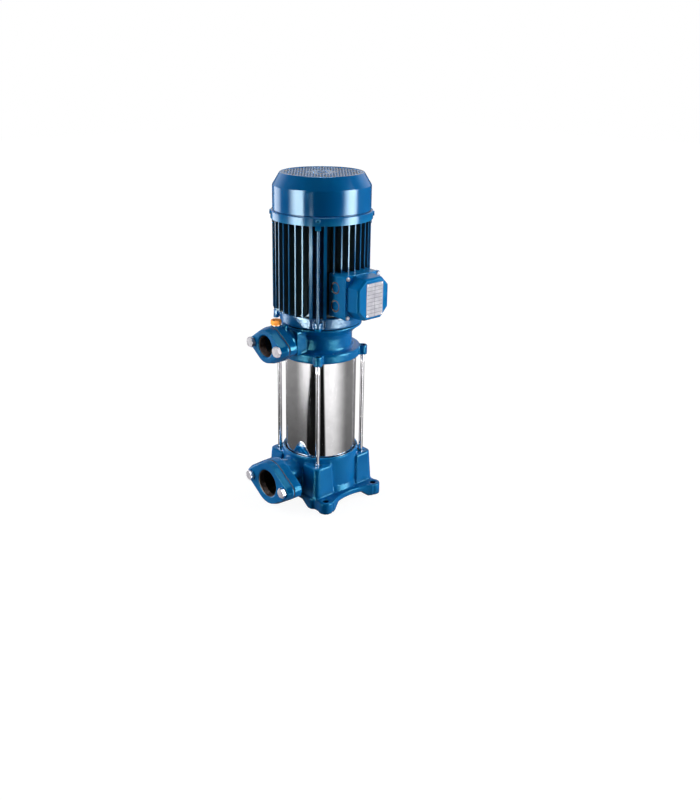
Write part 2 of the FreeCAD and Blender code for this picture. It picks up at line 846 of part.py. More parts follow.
def pump_head():
    """Head with ears for the rods, and a neck block whose sides have an arched relief."""
    skirt_inner = stack_r - skirt_wall
    arch_depth = neck_half_width - neck_root_half_width
    core = turned(
        [
            (skirt_inner, stack_top_z),
            (stack_r, stack_top_z),
            (stack_r, sleeve_top_z + sleeve_gasket),
            (sleeve_r + 0.6, sleeve_top_z + sleeve_gasket),
            (sleeve_r + 0.6, disc_bottom_z),
            (disc_r, disc_bottom_z, 1.2),
            (disc_r, disc_top_z, 1.6),
            (collar_r, disc_top_z, 3.0),
            (collar_r, collar_top_z, 4.0),
            (cone_top_r, head_flange_z),
            (head_flange_r, head_flange_z),
            (head_flange_r, head_top_z),
            (seal_shaft_r + 1.5, head_top_z),
            (seal_shaft_r + 1.5, seal_pocket_top_z),
            (seal_pocket_r, seal_pocket_top_z),
            (seal_pocket_r, head_chamber_top_z),
            (head_chamber_r, head_chamber_top_z, 6.0),
            (head_chamber_r, disc_bottom_z + 8, 3.0),
            (skirt_inner, disc_bottom_z),
        ]
    )
    ear = joined(
        [
            rod(ear_r, ear_bottom_z, disc_top_z, rod_circle_r, 0),
            block(sleeve_r + 3, rod_circle_r, -ear_r, ear_r, ear_bottom_z, disc_top_z),
        ]
    )
    throat = rod_x(neck_throat_r, delivery_back_x - 1, neck_front_x + 1, 0, delivery_z)
    neck = prism(
        [
            (-neck_half_width, neck_bottom_z, 3.0),
            (neck_half_width, neck_bottom_z, 3.0),
            (neck_half_width, neck_top_z, 4.0),
            (-neck_half_width, neck_top_z, 4.0),
        ],
        across_x(neck_front_x),
        Vector(neck_end_x - neck_front_x, 0, 0),
    )
    arches = []
    for side_y in (-neck_half_width - 1, neck_root_half_width):
        arches.append(rod_y(neck_arch_r, side_y, side_y + arch_depth + 1, neck_arch_x, neck_arch_z))
    neck = neck.cut(Part.makeCompound(arches))
    root = block(
        neck_end_x - 1,
        -head_chamber_r,
        -neck_root_half_width,
        neck_root_half_width,
        disc_top_z - 4,
        neck_top_z - 3,
    )
    flange = flange_body(
        delivery_hub_r,
        delivery_ear_r,
        delivery_ear_y,
        delivery_z,
        delivery_joint_x + gasket_thickness / 2,
        delivery_back_x,
    )
    bleed_boss = rod(bleed_boss_r, delivery_z, bleed_seat_z, bleed_x, 0)
    flange_thickness = delivery_back_x - delivery_joint_x
    bleed_boss = bleed_boss.common(
        block(
            delivery_joint_x + gasket_thickness / 2,
            delivery_joint_x + gasket_thickness / 2 + flange_thickness,
            -bleed_boss_r,
            bleed_boss_r,
            delivery_z,
            bleed_seat_z,
        )
    )
    blank_boss = turned(
        [
            (0, neck_top_z - 4),
            (blank_boss_r, neck_top_z - 4),
            (blank_boss_r, blank_boss_top_z, 2.0),
            (0, blank_boss_top_z),
        ]
    )
    blank_boss = moved(blank_boss, x=blank_boss_x, y=blank_boss_y)
    solid = joined([core, throat, neck, root, flange, bleed_boss, blank_boss] + on_diagonals(ear))
    tools = [
        rod_x(neck_passage_r, delivery_joint_x - 1, -head_chamber_r + 6, 0, delivery_z),
        rod(bleed_thread_r + slip, bleed_seat_z - bleed_depth, bleed_seat_z + 1, bleed_x, 0),
        tube(sleeve_r + 0.6, stack_r, ear_bottom_z - 1, sleeve_top_z + sleeve_gasket),
    ]
    tools += bolt_pockets(delivery_face_x, delivery_bolt_y, delivery_z)
    for sx, sy in DIAGONALS:
        tools.append(rod(rod_r + slip, ear_bottom_z - 1, disc_top_z + 1, sx * rod_place, sy * rod_place))
        tools.append(rod(ear_recess_r, rod_top_z - 1.5, disc_top_z + 1, sx * rod_place, sy * rod_place))
    screw_hole_z = head_top_z - shield_screw_reach - 1
    tools += on_diagonals(rod(shield_screw_r + slip, screw_hole_z, head_top_z + 1, shield_screw_place, 0))
    tools.append(rod(bleed_vent_r, delivery_z, bleed_seat_z - bleed_depth + 1, bleed_x, 0))
    return solid.cut(Part.makeCompound(tools)).removeSplitter()


def bleed_washer():
    ring = rod(bleed_washer_r, bleed_seat_z, bleed_seat_z + bleed_washer_height, bleed_x, 0)
    return ring.cut(rod(bleed_thread_r + slip, 0, bleed_seat_z + 5, bleed_x, 0))


def bleed_plug():
    head_z = bleed_seat_z + bleed_washer_height
    flange = rod(bleed_flats / 2, head_z, head_z + 1.2, bleed_x, 0)
    head = hex_head(bleed_flats, head_z + 1.2, head_z + bleed_head_height, bleed_x, 0)
    shank = rod(bleed_thread_r, bleed_seat_z - bleed_depth + 1.5, head_z + 2, bleed_x, 0)
    return joined([flange, head, shank])


# Tie rods and their nuts
def tie_rod():
    return rod(rod_r, arch_height + 1.5, rod_top_z)


def tie_rod_nut():
    """Hexagon nut with a round flange against the top of its pocket."""
    flange_z = rod_pocket_top_z - rod_washer_height
    nut = prism(hexagon(rod_nut_flats), plan(flange_z - rod_nut_height), Vector(0, 0, rod_nut_height + 0.5))
    flange = rod(rod_washer_r, flange_z, rod_pocket_top_z)
    return joined([nut, flange]).cut(rod(rod_r + slip, 0, rod_pocket_top_z + 1))


# Shaft, seal and bearings
lower_bearing_z = shield_top_z - 1.5 - lower_bearing_width
upper_bearing_z = frame_top_z + 0.5
fan_hub_top_z = fan_bottom_z + fan_blade_height + 2.0
shaft_top_z = fan_hub_top_z + ring_height + shaft_tail


def rotor_shaft():
    return turned(
        [
            (0, shaft_bottom_z),
            (thread_end_r, shaft_bottom_z),
            (thread_end_r, shaft_nut_top_z),
            (pump_shaft_r, shaft_nut_top_z),
            (pump_shaft_r, stack_end_z),
            (seal_shaft_r, stack_end_z),
            (seal_shaft_r, head_top_z + 0.5),
            (lower_seat_r, head_top_z + 0.5),
            (lower_seat_r, lower_bearing_z + lower_bearing_width),
            (rotor_shaft_r, lower_bearing_z + lower_bearing_width),
            (rotor_shaft_r, upper_bearing_z),
            (upper_seat_r, upper_bearing_z),
            (upper_seat_r, fan_bottom_z),
            (fan_seat_r, fan_bottom_z),
            (fan_seat_r, shaft_top_z, 1.0),
            (0, shaft_top_z),
        ]
    )


def seal_seat():
    return tube(seal_pocket_r - slip, seal_seat_bore_r, head_chamber_top_z + 0.5, seal_pocket_top_z)


def seal_head():
    face_z = head_chamber_top_z + 0.5 - slip
    ring_z = face_z - seal_ring_height
    ring = tube(seal_ring_r, seal_shaft_r + shaft_fit, ring_z, face_z)
    bellows = turned(
        [
            (seal_shaft_r + shaft_fit, ring_z - seal_spring_height),
            (seal_ring_r, ring_z - seal_spring_height, 0.6),
            (seal_ring_r, ring_z - seal_spring_height + 3.0, 0.6),
            (seal_spring_r, ring_z - seal_spring_height + 3.0),
            (seal_spring_r, ring_z),
            (seal_shaft_r + shaft_fit, ring_z),
        ]
    )
    return joined([ring, bellows])


def bearing(inner_r, outer_r, width, z0):
    """Outer ring, inner ring and the caged ring of balls between them."""
    groove = race_wall * 0.4
    ball_inner = inner_r + race_wall - groove
    ball_outer = outer_r - race_wall + groove
    low = z0 + width * 0.25
    high = z0 + width * 0.75
    outer = tube(outer_r - slip, outer_r - race_wall, z0, z0 + width)
    outer = outer.cut(rod(ball_outer, low - running, high + running))
    inner = tube(inner_r + race_wall, inner_r + slip, z0, z0 + width)
    inner = inner.cut(tube(ball_outer, ball_inner, low, high))
    balls = tube(ball_outer - running, ball_inner, low, high)
    return outer, inner, balls


def wave_washer():
    z0 = upper_bearing_z + upper_bearing_width
    return tube(upper_bearing_r - 1.0, upper_bearing_r - race_wall, z0, z0 + wave_washer_height)


# Motor end shields
upper_shield_r = cover_lip_r - cover_wall - slip


def lower_end_shield():
    hub_outer = lower_bearing_r + upper_hub_wall
    spigot_r = frame_r - frame_wall - slip
    body = turned(
        [
            (lower_seat_r + 1.5, shield_bottom_z - 1.0),
            (shield_seat_r, shield_bottom_z - 1.0),
            (shield_seat_r, shield_bottom_z, 0.6),
            (shield_band_r, shield_bottom_z, 1.5),
            (shield_band_r, shield_top_z, 1.5),
            (spigot_r, shield_top_z),
            (spigot_r, shield_top_z + spigot_height),
            (spigot_r - spigot_wall, shield_top_z + spigot_height),
            (spigot_r - spigot_wall, shield_bottom_z + shield_floor + 6, 5.0),
            (hub_outer, shield_bottom_z + shield_floor, 4.0),
            (hub_outer, shield_top_z, 1.0),
            (lower_bearing_r, shield_top_z),
            (lower_bearing_r, lower_bearing_z),
            (lower_seat_r + 1.5, lower_bearing_z),
        ]
    )
    lug_end = lug_reach_r - lug_half_width
    lug_web = block(frame_r, lug_end, -lug_half_width, lug_half_width, lug_bottom_z, lug_top_z)
    lug = joined([lug_web, rod(lug_half_width, lug_bottom_z, lug_top_z, lug_end, 0)])
    solid = joined([body] + on_diagonals(lug))
    tools = on_diagonals(rod(motor_bolt_r + slip, lug_bottom_z - 1, lug_top_z + 1, motor_bolt_place, 0))
    for side in (-1, 1):
        groove_y = side * (lug_half_width + lug_groove_r)
        groove_x = math.sqrt(shield_band_r ** 2 - groove_y ** 2)
        groove = rod(lug_groove_r, lug_groove_bottom_z, lug_groove_top_z, groove_x, groove_y)
        tools += on_diagonals(groove)
    head_z = shield_bottom_z + shield_floor - 1.0
    tools += on_diagonals(rod(shield_screw_r + slip, 0, head_z + 1, shield_screw_place, 0))
    tools += on_diagonals(rod(shield_screw_head_r + 0.5, head_z, shield_top_z, shield_screw_place, 0))
    return solid.cut(Part.makeCompound(tools)).removeSplitter()


def upper_end_shield():
    spigot_r = frame_r - frame_wall - slip
    hub_outer = upper_bearing_r + upper_hub_wall
    z0 = frame_top_z
    floor_z = z0 + upper_shield_floor
    cap_z = upper_bearing_z + upper_bearing_width + wave_washer_height
    body = turned(
        [
            (spigot_r - spigot_wall, z0 - spigot_height),
            (spigot_r, z0 - spigot_height),
            (spigot_r, z0),
            (upper_shield_r, z0),
            (upper_shield_r, upper_shield_top_z, 1.0),
            (upper_shield_r - upper_shield_rim, upper_shield_top_z),
            (upper_shield_r - upper_shield_rim, floor_z, 3.0),
            (hub_outer, floor_z, 3.0),
            (hub_outer, cap_z + upper_cap, 1.5),
            (upper_seat_r + 1.0, cap_z + upper_cap),
            (upper_seat_r + 1.0, cap_z),
            (upper_bearing_r, cap_z),
            (upper_bearing_r, z0 - 1),
            (hub_outer, z0 - 1, 1.0),
            (hub_outer, z0 + 0.5),
            (spigot_r - spigot_wall, z0 + 0.5),
        ]
    )
    lug = block(
        motor_bolt_place - upper_lug_half_width - 1,
        upper_shield_r - 0.8,
        -upper_lug_half_width,
        upper_lug_half_width,
        z0 - upper_lug_depth,
        floor_z,
    )
    post = block(
        upper_shield_r - cover_screw_reach - 6,
        upper_shield_r - 1.0,
        -upper_lug_half_width,
        upper_lug_half_width,
        z0 + 1,
        upper_shield_top_z - 1,
    )
    solid = joined([body] + on_diagonals(joined([lug, post])))
    tools = on_diagonals(rod(motor_bolt_r + slip, 0, motor_bolt_top_z + 0.5, motor_bolt_place, 0))
    hole_end_x = cover_lip_r - cover_wall - cover_screw_reach - 1
    screw_hole = rod_x(cover_screw_r + slip, hole_end_x, cover_lip_r + 1, 0, cover_screw_z)
    tools += on_diagonals(screw_hole)
    return solid.cut(Part.makeCompound(tools)).removeSplitter()


def shield_screw():
    """Cylinder head screw through the floor of the shield into the pump head, on the +X axis."""
    head_z = shield_bottom_z + shield_floor - 1.0
    head = rod(shield_screw_head_r, head_z, head_z + shield_screw_head, shield_screw_place, 0)
    shank = rod(shield_screw_r, head_top_z - shield_screw_reach, head_z + 1, shield_screw_place, 0)
    return joined([head, shank])


def motor_tie_bolt():
    """Hexagon bolt under a lug of the lower shield that reaches the upper shield, on the +X axis."""
    head = hex_head(motor_bolt_flats, 0, motor_bolt_head)
    head.rotate(ORIGIN, Vector(1, 0, 0), 180)
    head.translate(Vector(motor_bolt_place, 0, lug_bottom_z))
    shank = rod(motor_bolt_r, lug_bottom_z - 1, motor_bolt_top_z, motor_bolt_place, 0)
    return joined([head, shank])


# Motor frame with radial fins
def fin(degrees, root, tip):
    root_r = frame_r - 1.5
    shape = prism(
        [(root_r, -root / 2), (fin_tip_r, -tip / 2), (fin_tip_r, tip / 2), (root_r, root / 2)],
        plan(fin_start_z),
        Vector(0, 0, frame_top_z - fin_start_z),
    )
    return turned_copy(shape, degrees)


def motor_frame():
    shell = tube(frame_r, frame_r - frame_wall, shield_top_z, frame_top_z)
    pieces = [shell]
    for quarter in range(4):
        for step in range(-fins_beside_axis, fins_beside_axis + 1):
            degrees = 90 * quarter + step * fin_pitch_deg
            pieces.append(fin(degrees, fin_root_thickness, fin_tip_thickness))
        for side in (-1, 1):
            degrees = 90 * quarter + 45 + side * rib_offset_deg
            pieces.append(fin(degrees, rib_thickness, rib_thickness))
    finned = joined(pieces)
    clearing = block(
        -box_half_x - fin_clearance,
        box_half_x + fin_clearance,
        -fin_tip_r - 2,
        box_back_y,
        fin_start_z - 1,
        box_centre_z + box_half_z + running,
    )
    pad = block(
        -box_half_x + 1,
        box_half_x - 1,
        box_back_y,
        box_back_y + box_pad_depth,
        box_centre_z - box_half_z + 1,
        box_centre_z + box_half_z - 1,
    )
    pad = pad.cut(rod(frame_r - 2, fin_start_z - 5, frame_top_z))
    solid = joined([finned.cut(clearing), pad])
    lead_hole = rod_y(lead_hole_r, box_back_y - 1, -stator_bore_r, 0, box_centre_z)
    return solid.cut(lead_hole).removeSplitter()


def stator_core():
    return tube(stator_r, stator_bore_r, core_bottom_z, core_top_z)


def winding_ring(z0):
    z1 = z0 + winding_height
    return turned(
        [
            (winding_inner_r, z0, 5.0),
            (winding_outer_r, z0, 5.0),
            (winding_outer_r, z1, 5.0),
            (winding_inner_r, z1, 5.0),
        ]
    )


def rotor_core():
    return tube(stator_bore_r - air_gap, rotor_shaft_r + slip, core_bottom_z, core_top_z)


# Cooling fan and fan cover
def cooling_fan():
    z0 = fan_bottom_z
    hub = rod(fan_hub_r, z0, fan_hub_top_z)
    disc = turned([(0, z0), (fan_r, z0), (fan_r, z0 + fan_disc, 1.0), (0, z0 + fan_disc)])
    blade = prism(
        [
            (fan_hub_r - 1, z0 + fan_disc - 0.5),
            (fan_r - 1, z0 + fan_disc - 0.5),
            (fan_r - 1, z0 + fan_blade_height - 4, 6.0),
            (fan_r - fan_blade_tip_run, z0 + fan_blade_height, 4.0),
            (fan_hub_r - 1, z0 + fan_blade_height),
        ],
        across_y(-fan_blade_thickness / 2),
        Vector(0, fan_blade_thickness, 0),
    )
    solid = joined([hub, disc] + spaced(blade, fan_blade_count))
    return solid.cut(rod(fan_seat_r + shaft_fit, z0 - 1, fan_hub_top_z + 1))


def fan_retaining_ring():
    return tube(ring_r, fan_seat_r + shaft_fit, fan_hub_top_z, fan_hub_top_z + ring_height)


def grille_holes():
    """Holes of the air inlet in a triangular pattern, outside the plain centre."""
    holes = []
    row_height = grille_pitch * math.sqrt(3) / 2
    rows = int(grille_r / row_height) + 1
    columns = int(grille_r / grille_pitch) + 2
    hole_r = grille_hole_flats / 2
    through = Vector(0, 0, cover_wall + 2)
    for row in range(-rows, rows + 1):
        for column in range(-columns, columns + 1):
            x = (column + 0.5 * (row % 2)) * grille_pitch
            y = row * row_height
            distance = math.hypot(x, y)
            if grille_centre_r + hole_r < distance < grille_r - hole_r:
                hole = prism(hexagon(grille_hole_flats, x, y), plan(cover_top_z - cover_wall - 1), through)
                holes.append(hole)
    return holes


def fan_cover():
    lip_top = cover_lip_top_z
    shell = turned(
        [
            (cover_lip_r - cover_wall, frame_top_z),
            (cover_lip_r, frame_top_z),
            (cover_lip_r, lip_top - 1.0, 1.6),
            (cover_r - cover_groove, lip_top - 0.6),
            (cover_r - cover_groove, lip_top + 0.3),
            (cover_r, lip_top + 1.0),
            (cover_r, cover_shoulder_z, 5.0),
            (cover_rim_r, cover_top_z, 1.6),
            (0, cover_top_z),
            (0, cover_top_z - cover_wall),
            (cover_rim_r - 1.0, cover_top_z - cover_wall),
            (cover_r - cover_wall - cover_groove, cover_shoulder_z - 0.6, 4.0),
            (cover_r - cover_wall - cover_groove, lip_top - 2.0),
            (cover_lip_r - cover_wall, lip_top - 2.4),
        ]
    )
    tools = grille_holes()
    tools += on_diagonals(rod_x(cover_screw_r + slip, cover_r - 6, cover_lip_r + 2, 0, cover_screw_z))
    return shell.cut(Part.makeCompound(tools))


def fan_cover_screw():
    """Pan head screw through the lip of the cover into the upper shield, on the +X axis."""
    head = turned(
        [
            (0, 0),
            (cover_screw_head_r, 0),
            (cover_screw_head_r, cover_screw_head, 1.5),
            (0, cover_screw_head),
        ]
    )
    shank = rod(cover_screw_r, -cover_wall - cover_screw_reach, 0.5)
    screw = joined([head, shank])
    screw.rotate(ORIGIN, Vector(0, 1, 0), 90)
    return moved(screw, x=cover_lip_r, z=cover_screw_z)


# Terminal box
box_gasket_y = box_rim_y - box_gasket
lid_joint_y = box_gasket_y
lid_plate_y = lid_joint_y - lid_plate
knockout_places = [box_centre_z + knockout_rise - n * knockout_spacing for n in range(2)]


def lid_screw_places():
    return [(sx * lid_screw_x, box_centre_z + sz * lid_screw_z) for sx, sz in DIAGONALS]


def terminal_box():
    outline = rectangle(box_half_x, box_half_z, box_corner_r, box_centre_z)
    depth = box_back_y - box_rim_y
    outer = prism(outline, across_y(box_rim_y), Vector(0, depth, 0))
    hollow = rectangle(box_half_x - box_wall, box_half_z - box_wall, box_corner_r - 1.5, box_centre_z)
    cavity = prism(hollow, across_y(box_rim_y - 1), Vector(0, depth - box_wall + 1, 0))
    posts = [rod_y(lid_post_r, box_rim_y, box_back_y - 1, x, z) for x, z in lid_screw_places()]
    body = joined([outer.cut(cavity)] + posts)
    body = body.common(outer)
    tools = [rod_y(lead_hole_r, box_rim_y, box_back_y + 1, 0, box_centre_z)]
    for x, z in lid_screw_places():
        tools.append(rod_y(lid_screw_r + slip, box_rim_y - 1, box_rim_y + lid_screw_reach + 1, x, z))
    for z in knockout_places:
        tools.append(rod_x(knockout_r, -box_half_x - 1, -box_half_x + knockout_depth, knockout_y, z))
    return body.cut(Part.makeCompound(tools)).removeSplitter()


def terminal_box_gasket():
    outline = rectangle(box_half_x - 0.3, box_half_z - 0.3, box_corner_r, box_centre_z)
    outer = prism(outline, across_y(box_gasket_y), Vector(0, box_gasket, 0))
    window = octagon(box_half_x - 5, box_half_z - 5, gasket_window_cut)
    window = [(u, v + box_centre_z) for u, v, radius in window]
    tools = [prism(window, across_y(box_gasket_y - 1), Vector(0, box_gasket + 2, 0))]
    for x, z in lid_screw_places():
        tools.append(rod_y(lid_screw_r + slip, box_gasket_y - 1, box_rim_y + 1, x, z))
    return outer.cut(Part.makeCompound(tools))


def lid_section(half_x, half_z, cut, radius, y):
    corners = [(u, v + box_centre_z, r) for u, v, r in octagon(half_x, half_z, cut, radius)]
    return rounded_wire(corners, across_y(y))


def terminal_box_lid():
    """Square flange with four screws that carries a drafted octagonal hood."""
    plate = prism(
        rectangle(lid_half_x, lid_half_z, box_corner_r, box_centre_z),
        across_y(lid_plate_y),
        Vector(0, lid_plate, 0),
    )
    shoulder_y = lid_face_y + lid_edge_r
    root_x = lid_oct_half_x + lid_draft
    root_z = lid_oct_half_z + lid_draft
    root = lid_section(root_x, root_z, lid_oct_cut + 0.8, 3.0, lid_plate_y + 1)
    shoulder = lid_section(lid_oct_half_x + 0.6, lid_oct_half_z + 0.6, lid_oct_cut + 0.2, 3.0, shoulder_y)
    face_x = lid_oct_half_x - lid_edge_r * 0.8
    face_z = lid_oct_half_z - lid_edge_r * 0.8
    face = lid_section(face_x, face_z, lid_oct_cut - 1.0, 2.0, lid_face_y)
    hood = upright(Part.makeLoft([root, shoulder], True, True))
    crown = upright(Part.makeLoft([shoulder, face], True, True))
    inner_root = lid_section(root_x - lid_wall, root_z - lid_wall, lid_oct_cut, 0.0, lid_joint_y + 1)
    inner_face = lid_section(
        lid_oct_half_x - lid_wall,
        lid_oct_half_z - lid_wall,
        lid_oct_cut - 1.0,
        0.0,
        lid_face_y + lid_wall,
    )
    hollow = upright(Part.makeLoft([inner_root, inner_face], True, True))
    solid = joined([plate, hood, crown]).cut(hollow)
    tools = []
    for x, z in lid_screw_places():
        tools.append(rod_y(lid_screw_r + slip, lid_plate_y - 4, lid_joint_y + 1, x, z))
        tools.append(rod_y(lid_screw_head_r + 0.4, lid_face_y - 1, lid_plate_y, x, z))
    return solid.cut(Part.makeCompound(tools)).removeSplitter()


def lid_screw():
    """Pan head screw along +Y, made at the origin."""
    head = turned(
        [
            (0, 0),
            (lid_screw_head_r, 0),
            (lid_screw_head_r, lid_screw_head, 1.4),
            (0, lid_screw_head),
        ]
    )
    reach = lid_plate + box_gasket + lid_screw_reach
    shank = rod(lid_screw_r, -reach, 0.5)
    screw = joined([head, shank])
    screw.rotate(ORIGIN, Vector(1, 0, 0), 90)
    return screw


def lid_screws():
    screw = lid_screw()
    return [moved(screw, x=x, y=lid_plate_y, z=z) for x, z in lid_screw_places()]


def terminal_block():
    y1 = box_back_y - box_wall
    outline = rectangle(block_half_x, block_half_z, 2.0, box_centre_z - lead_hole_r - 6)
    body = prism(outline, across_y(y1 - block_height), Vector(0, block_height, 0))
    tools = [rod_y(stud_r + slip, y1 - block_height - 1, y1 - 3, x, z) for x, z in stud_places()]
    return body.cut(Part.makeCompound(tools))


def stud_places():
    middle_z = box_centre_z - lead_hole_r - 6
    return [(column * stud_pitch, middle_z + row * stud_row) for row in (-1, 1) for column in (-1, 0, 1)]


def terminal_studs():
    face_y = box_back_y - box_wall - block_height
    inner_y = box_back_y - box_wall - 3
    return [rod_y(stud_r, face_y - stud_height, inner_y, x, z) for x, z in stud_places()]


def save(node, shapes):
    solids = []
    for shape in shapes:
        for solid in shape.Solids:
            solids.append(upright(solid))
    shape = solids[0] if len(solids) == 1 else Part.makeCompound(solids)
    if not shape.isValid():
        raise ValueError(node + " is not a valid shape")
    shape.exportStep("parts/" + node + ".step")
    print(node, len(solids), "solids", round(sum(s.Volume for s in solids) / 1000.0, 1), "cm3")


def build():
    os.makedirs("parts", exist_ok=True)

    save("pump_base", [pump_base()])
    save("tie_rods", at_rods(tie_rod()))
    save("tie_rod_nuts", at_rods(tie_rod_nut()))

    suction_oval = (suction_hub_r, suction_ear_r, suction_ear_y, suction_bolt_y, suction_z)
    save("suction_gasket", [flange_gasket(*suction_oval, suction_joint_x, suction_mouth_r)])
    suction_along = (suction_face_x, suction_joint_x, suction_bore_r, suction_mouth_r)
    save("suction_counter_flange", [counter_flange(*suction_oval, *suction_along)])
    save("suction_flange_bolts", flange_bolts(suction_face_x, suction_bolt_y, suction_z))

    delivery_oval = (delivery_hub_r, delivery_ear_r, delivery_ear_y, delivery_bolt_y, delivery_z)
    save("pump_head", [pump_head()])
    save("delivery_gasket", [flange_gasket(*delivery_oval, delivery_joint_x, delivery_mouth_r)])
    delivery_along = (delivery_face_x, delivery_joint_x, delivery_bore_r, delivery_mouth_r)
    save("delivery_counter_flange", [counter_flange(*delivery_oval, *delivery_along)])
    save("delivery_flange_bolts", flange_bolts(delivery_face_x, delivery_bolt_y, delivery_z))
    save("bleed_washer", [bleed_washer()])
    save("bleed_plug", [bleed_plug()])

    save("outer_sleeve", [tube(sleeve_r, sleeve_inner_r, sleeve_bottom_z, sleeve_top_z)])
    save("lower_sleeve_gasket", [sleeve_gasket_ring(sleeve_seat_z)])
    save("upper_sleeve_gasket", [sleeve_gasket_ring(sleeve_top_z)])
    save("inlet_plate", [inlet_plate()])
    save("stage_casings", at_stages(stage_casing()))
    save("impellers", at_stages(impeller()))
    save("lower_shaft_sleeve", [lower_shaft_sleeve()])
    save("shaft_end_nut", [shaft_end_nut()])

    save("rotor_shaft", [rotor_shaft()])
    save("seal_seat", [seal_seat()])
    save("seal_rotating_head", [seal_head()])
    lower = (lower_seat_r, lower_bearing_r, lower_bearing_width, lower_bearing_z)
    upper = (upper_seat_r, upper_bearing_r, upper_bearing_width, upper_bearing_z)
    lower_outer, lower_inner, lower_balls = bearing(*lower)
    upper_outer, upper_inner, upper_balls = bearing(*upper)
    save("lower_bearing_outer_ring", [lower_outer])
    save("lower_bearing_inner_ring", [lower_inner])
    save("upper_bearing_outer_ring", [upper_outer])
    save("upper_bearing_inner_ring", [upper_inner])
    save("bearing_ball_cages", [lower_balls, upper_balls])
    save("wave_washer", [wave_washer()])

    save("lower_end_shield", [lower_end_shield()])
    save("shield_screws", on_diagonals(shield_screw()))
    save("motor_frame", [motor_frame()])
    save("stator_core", [stator_core()])
    save("stator_windings", [winding_ring(core_bottom_z - winding_height), winding_ring(core_top_z)])
    save("rotor_core", [rotor_core()])
    save("upper_end_shield", [upper_end_shield()])
    save("motor_tie_bolts", on_diagonals(motor_tie_bolt()))
    save("cooling_fan", [cooling_fan()])
    save("fan_retaining_ring", [fan_retaining_ring()])
    save("fan_cover", [fan_cover()])
    save("fan_cover_screws", on_diagonals(fan_cover_screw()))

    save("terminal_box", [terminal_box()])
    save("terminal_box_gasket", [terminal_box_gasket()])
    save("terminal_box_lid", [terminal_box_lid()])
    save("lid_screws", lid_screws())
    save("terminal_block", [terminal_block()])
    save("terminal_studs", terminal_studs())


build()
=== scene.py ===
"""Vertical multistage pump: finished pieces, materials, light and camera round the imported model."""

import json
import logging
import math
from dataclasses import dataclass, field
from enum import Enum
from typing import Iterable, Optional, Sequence, Union

import bpy
from bpy.types import Material, NodeSocket, NodeTree, Object
from mathutils import Matrix, Vector


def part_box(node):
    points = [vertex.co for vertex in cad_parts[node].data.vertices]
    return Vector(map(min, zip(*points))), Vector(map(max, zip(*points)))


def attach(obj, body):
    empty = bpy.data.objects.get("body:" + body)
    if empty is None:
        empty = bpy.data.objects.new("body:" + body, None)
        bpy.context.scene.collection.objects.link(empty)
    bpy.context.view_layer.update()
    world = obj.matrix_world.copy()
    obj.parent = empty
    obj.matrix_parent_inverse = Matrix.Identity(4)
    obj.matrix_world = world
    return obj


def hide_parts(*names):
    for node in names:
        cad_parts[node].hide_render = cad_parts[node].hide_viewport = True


logging.basicConfig(level=logging.INFO, format="%(name)s: %(message)s")
LOG = logging.getLogger("pump")

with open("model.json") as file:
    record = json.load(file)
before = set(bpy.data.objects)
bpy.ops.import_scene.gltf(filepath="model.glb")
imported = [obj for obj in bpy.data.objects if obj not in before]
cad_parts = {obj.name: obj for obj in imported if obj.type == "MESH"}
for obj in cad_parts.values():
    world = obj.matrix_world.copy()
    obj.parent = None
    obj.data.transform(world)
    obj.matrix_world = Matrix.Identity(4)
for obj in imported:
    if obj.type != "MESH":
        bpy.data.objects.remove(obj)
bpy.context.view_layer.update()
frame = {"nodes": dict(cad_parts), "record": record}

MM = 0.001
Value = Union[NodeSocket, float]
Colour = tuple[float, float, float, float]
Point = tuple[float, float]

ROOT_BODY = "pump_and_stator"
ROTOR_BODY = "rotor"
BLEED_BODY = "bleed_plug"


def colour(red: float, green: float, blue: float) -> Colour:
    """Linear colour with full alpha."""
    return (red, green, blue, 1.0)


def activate(piece: Object) -> Object:
    """Makes one object the only selected and active one."""
    bpy.ops.object.select_all(action="DESELECT")
    piece.select_set(True)
    bpy.context.view_layer.objects.active = piece
    return piece


def new_piece(name: str) -> Object:
    """Names the object that an operator has just made, puts its place into its mesh and returns it."""
    piece = bpy.context.view_layer.objects.active
    piece.name = name
    piece.data.name = name
    activate(piece)
    bpy.ops.object.transform_apply(location=True, rotation=True, scale=True)
    return piece


def edit(piece: Object, mode: str = "VERT") -> None:
    """Opens edit mode with nothing selected.

    Args:
        piece: Object whose mesh is edited.
        mode: Kind of element that is selected, VERT, EDGE or FACE.
    """
    activate(piece)
    bpy.ops.object.mode_set(mode="EDIT")
    bpy.ops.mesh.select_mode(type=mode)
    bpy.ops.mesh.select_all(action="DESELECT")


def leave_edit() -> None:
    """Closes edit mode."""
    bpy.ops.object.mode_set(mode="OBJECT")


def clean(piece: Object, distance: float = 1e-6) -> Object:
    """Merges doubles and turns the faces outwards."""
    edit(piece)
    bpy.ops.mesh.select_all(action="SELECT")
    bpy.ops.mesh.remove_doubles(threshold=distance)
    bpy.ops.mesh.normals_make_consistent(inside=False)
    leave_edit()
    return piece


def modify(piece: Object, kind: str, **settings: object) -> Object:
    """Adds one modifier with its settings and applies it.

    Args:
        piece: Object that gets the modifier.
        kind: Modifier type.
        **settings: Properties of the modifier.

    Returns:
        The same object.
    """
    activate(piece)
    bpy.ops.object.modifier_add(type=kind)
    modifier = piece.modifiers[-1]
    for key, value in settings.items():
        setattr(modifier, key, value)
    bpy.ops.object.modifier_apply(modifier=modifier.name)
    return piece


def smooth(piece: Object, degrees: float = 35.0) -> Object:
    """Shades a piece smooth, keeps edges sharper than the given angle, and lets large faces stay true."""
    activate(piece)
    bpy.ops.object.shade_smooth_by_angle(angle=math.radians(degrees))
    return modify(piece, "WEIGHTED_NORMAL", keep_sharp=True, weight=90)


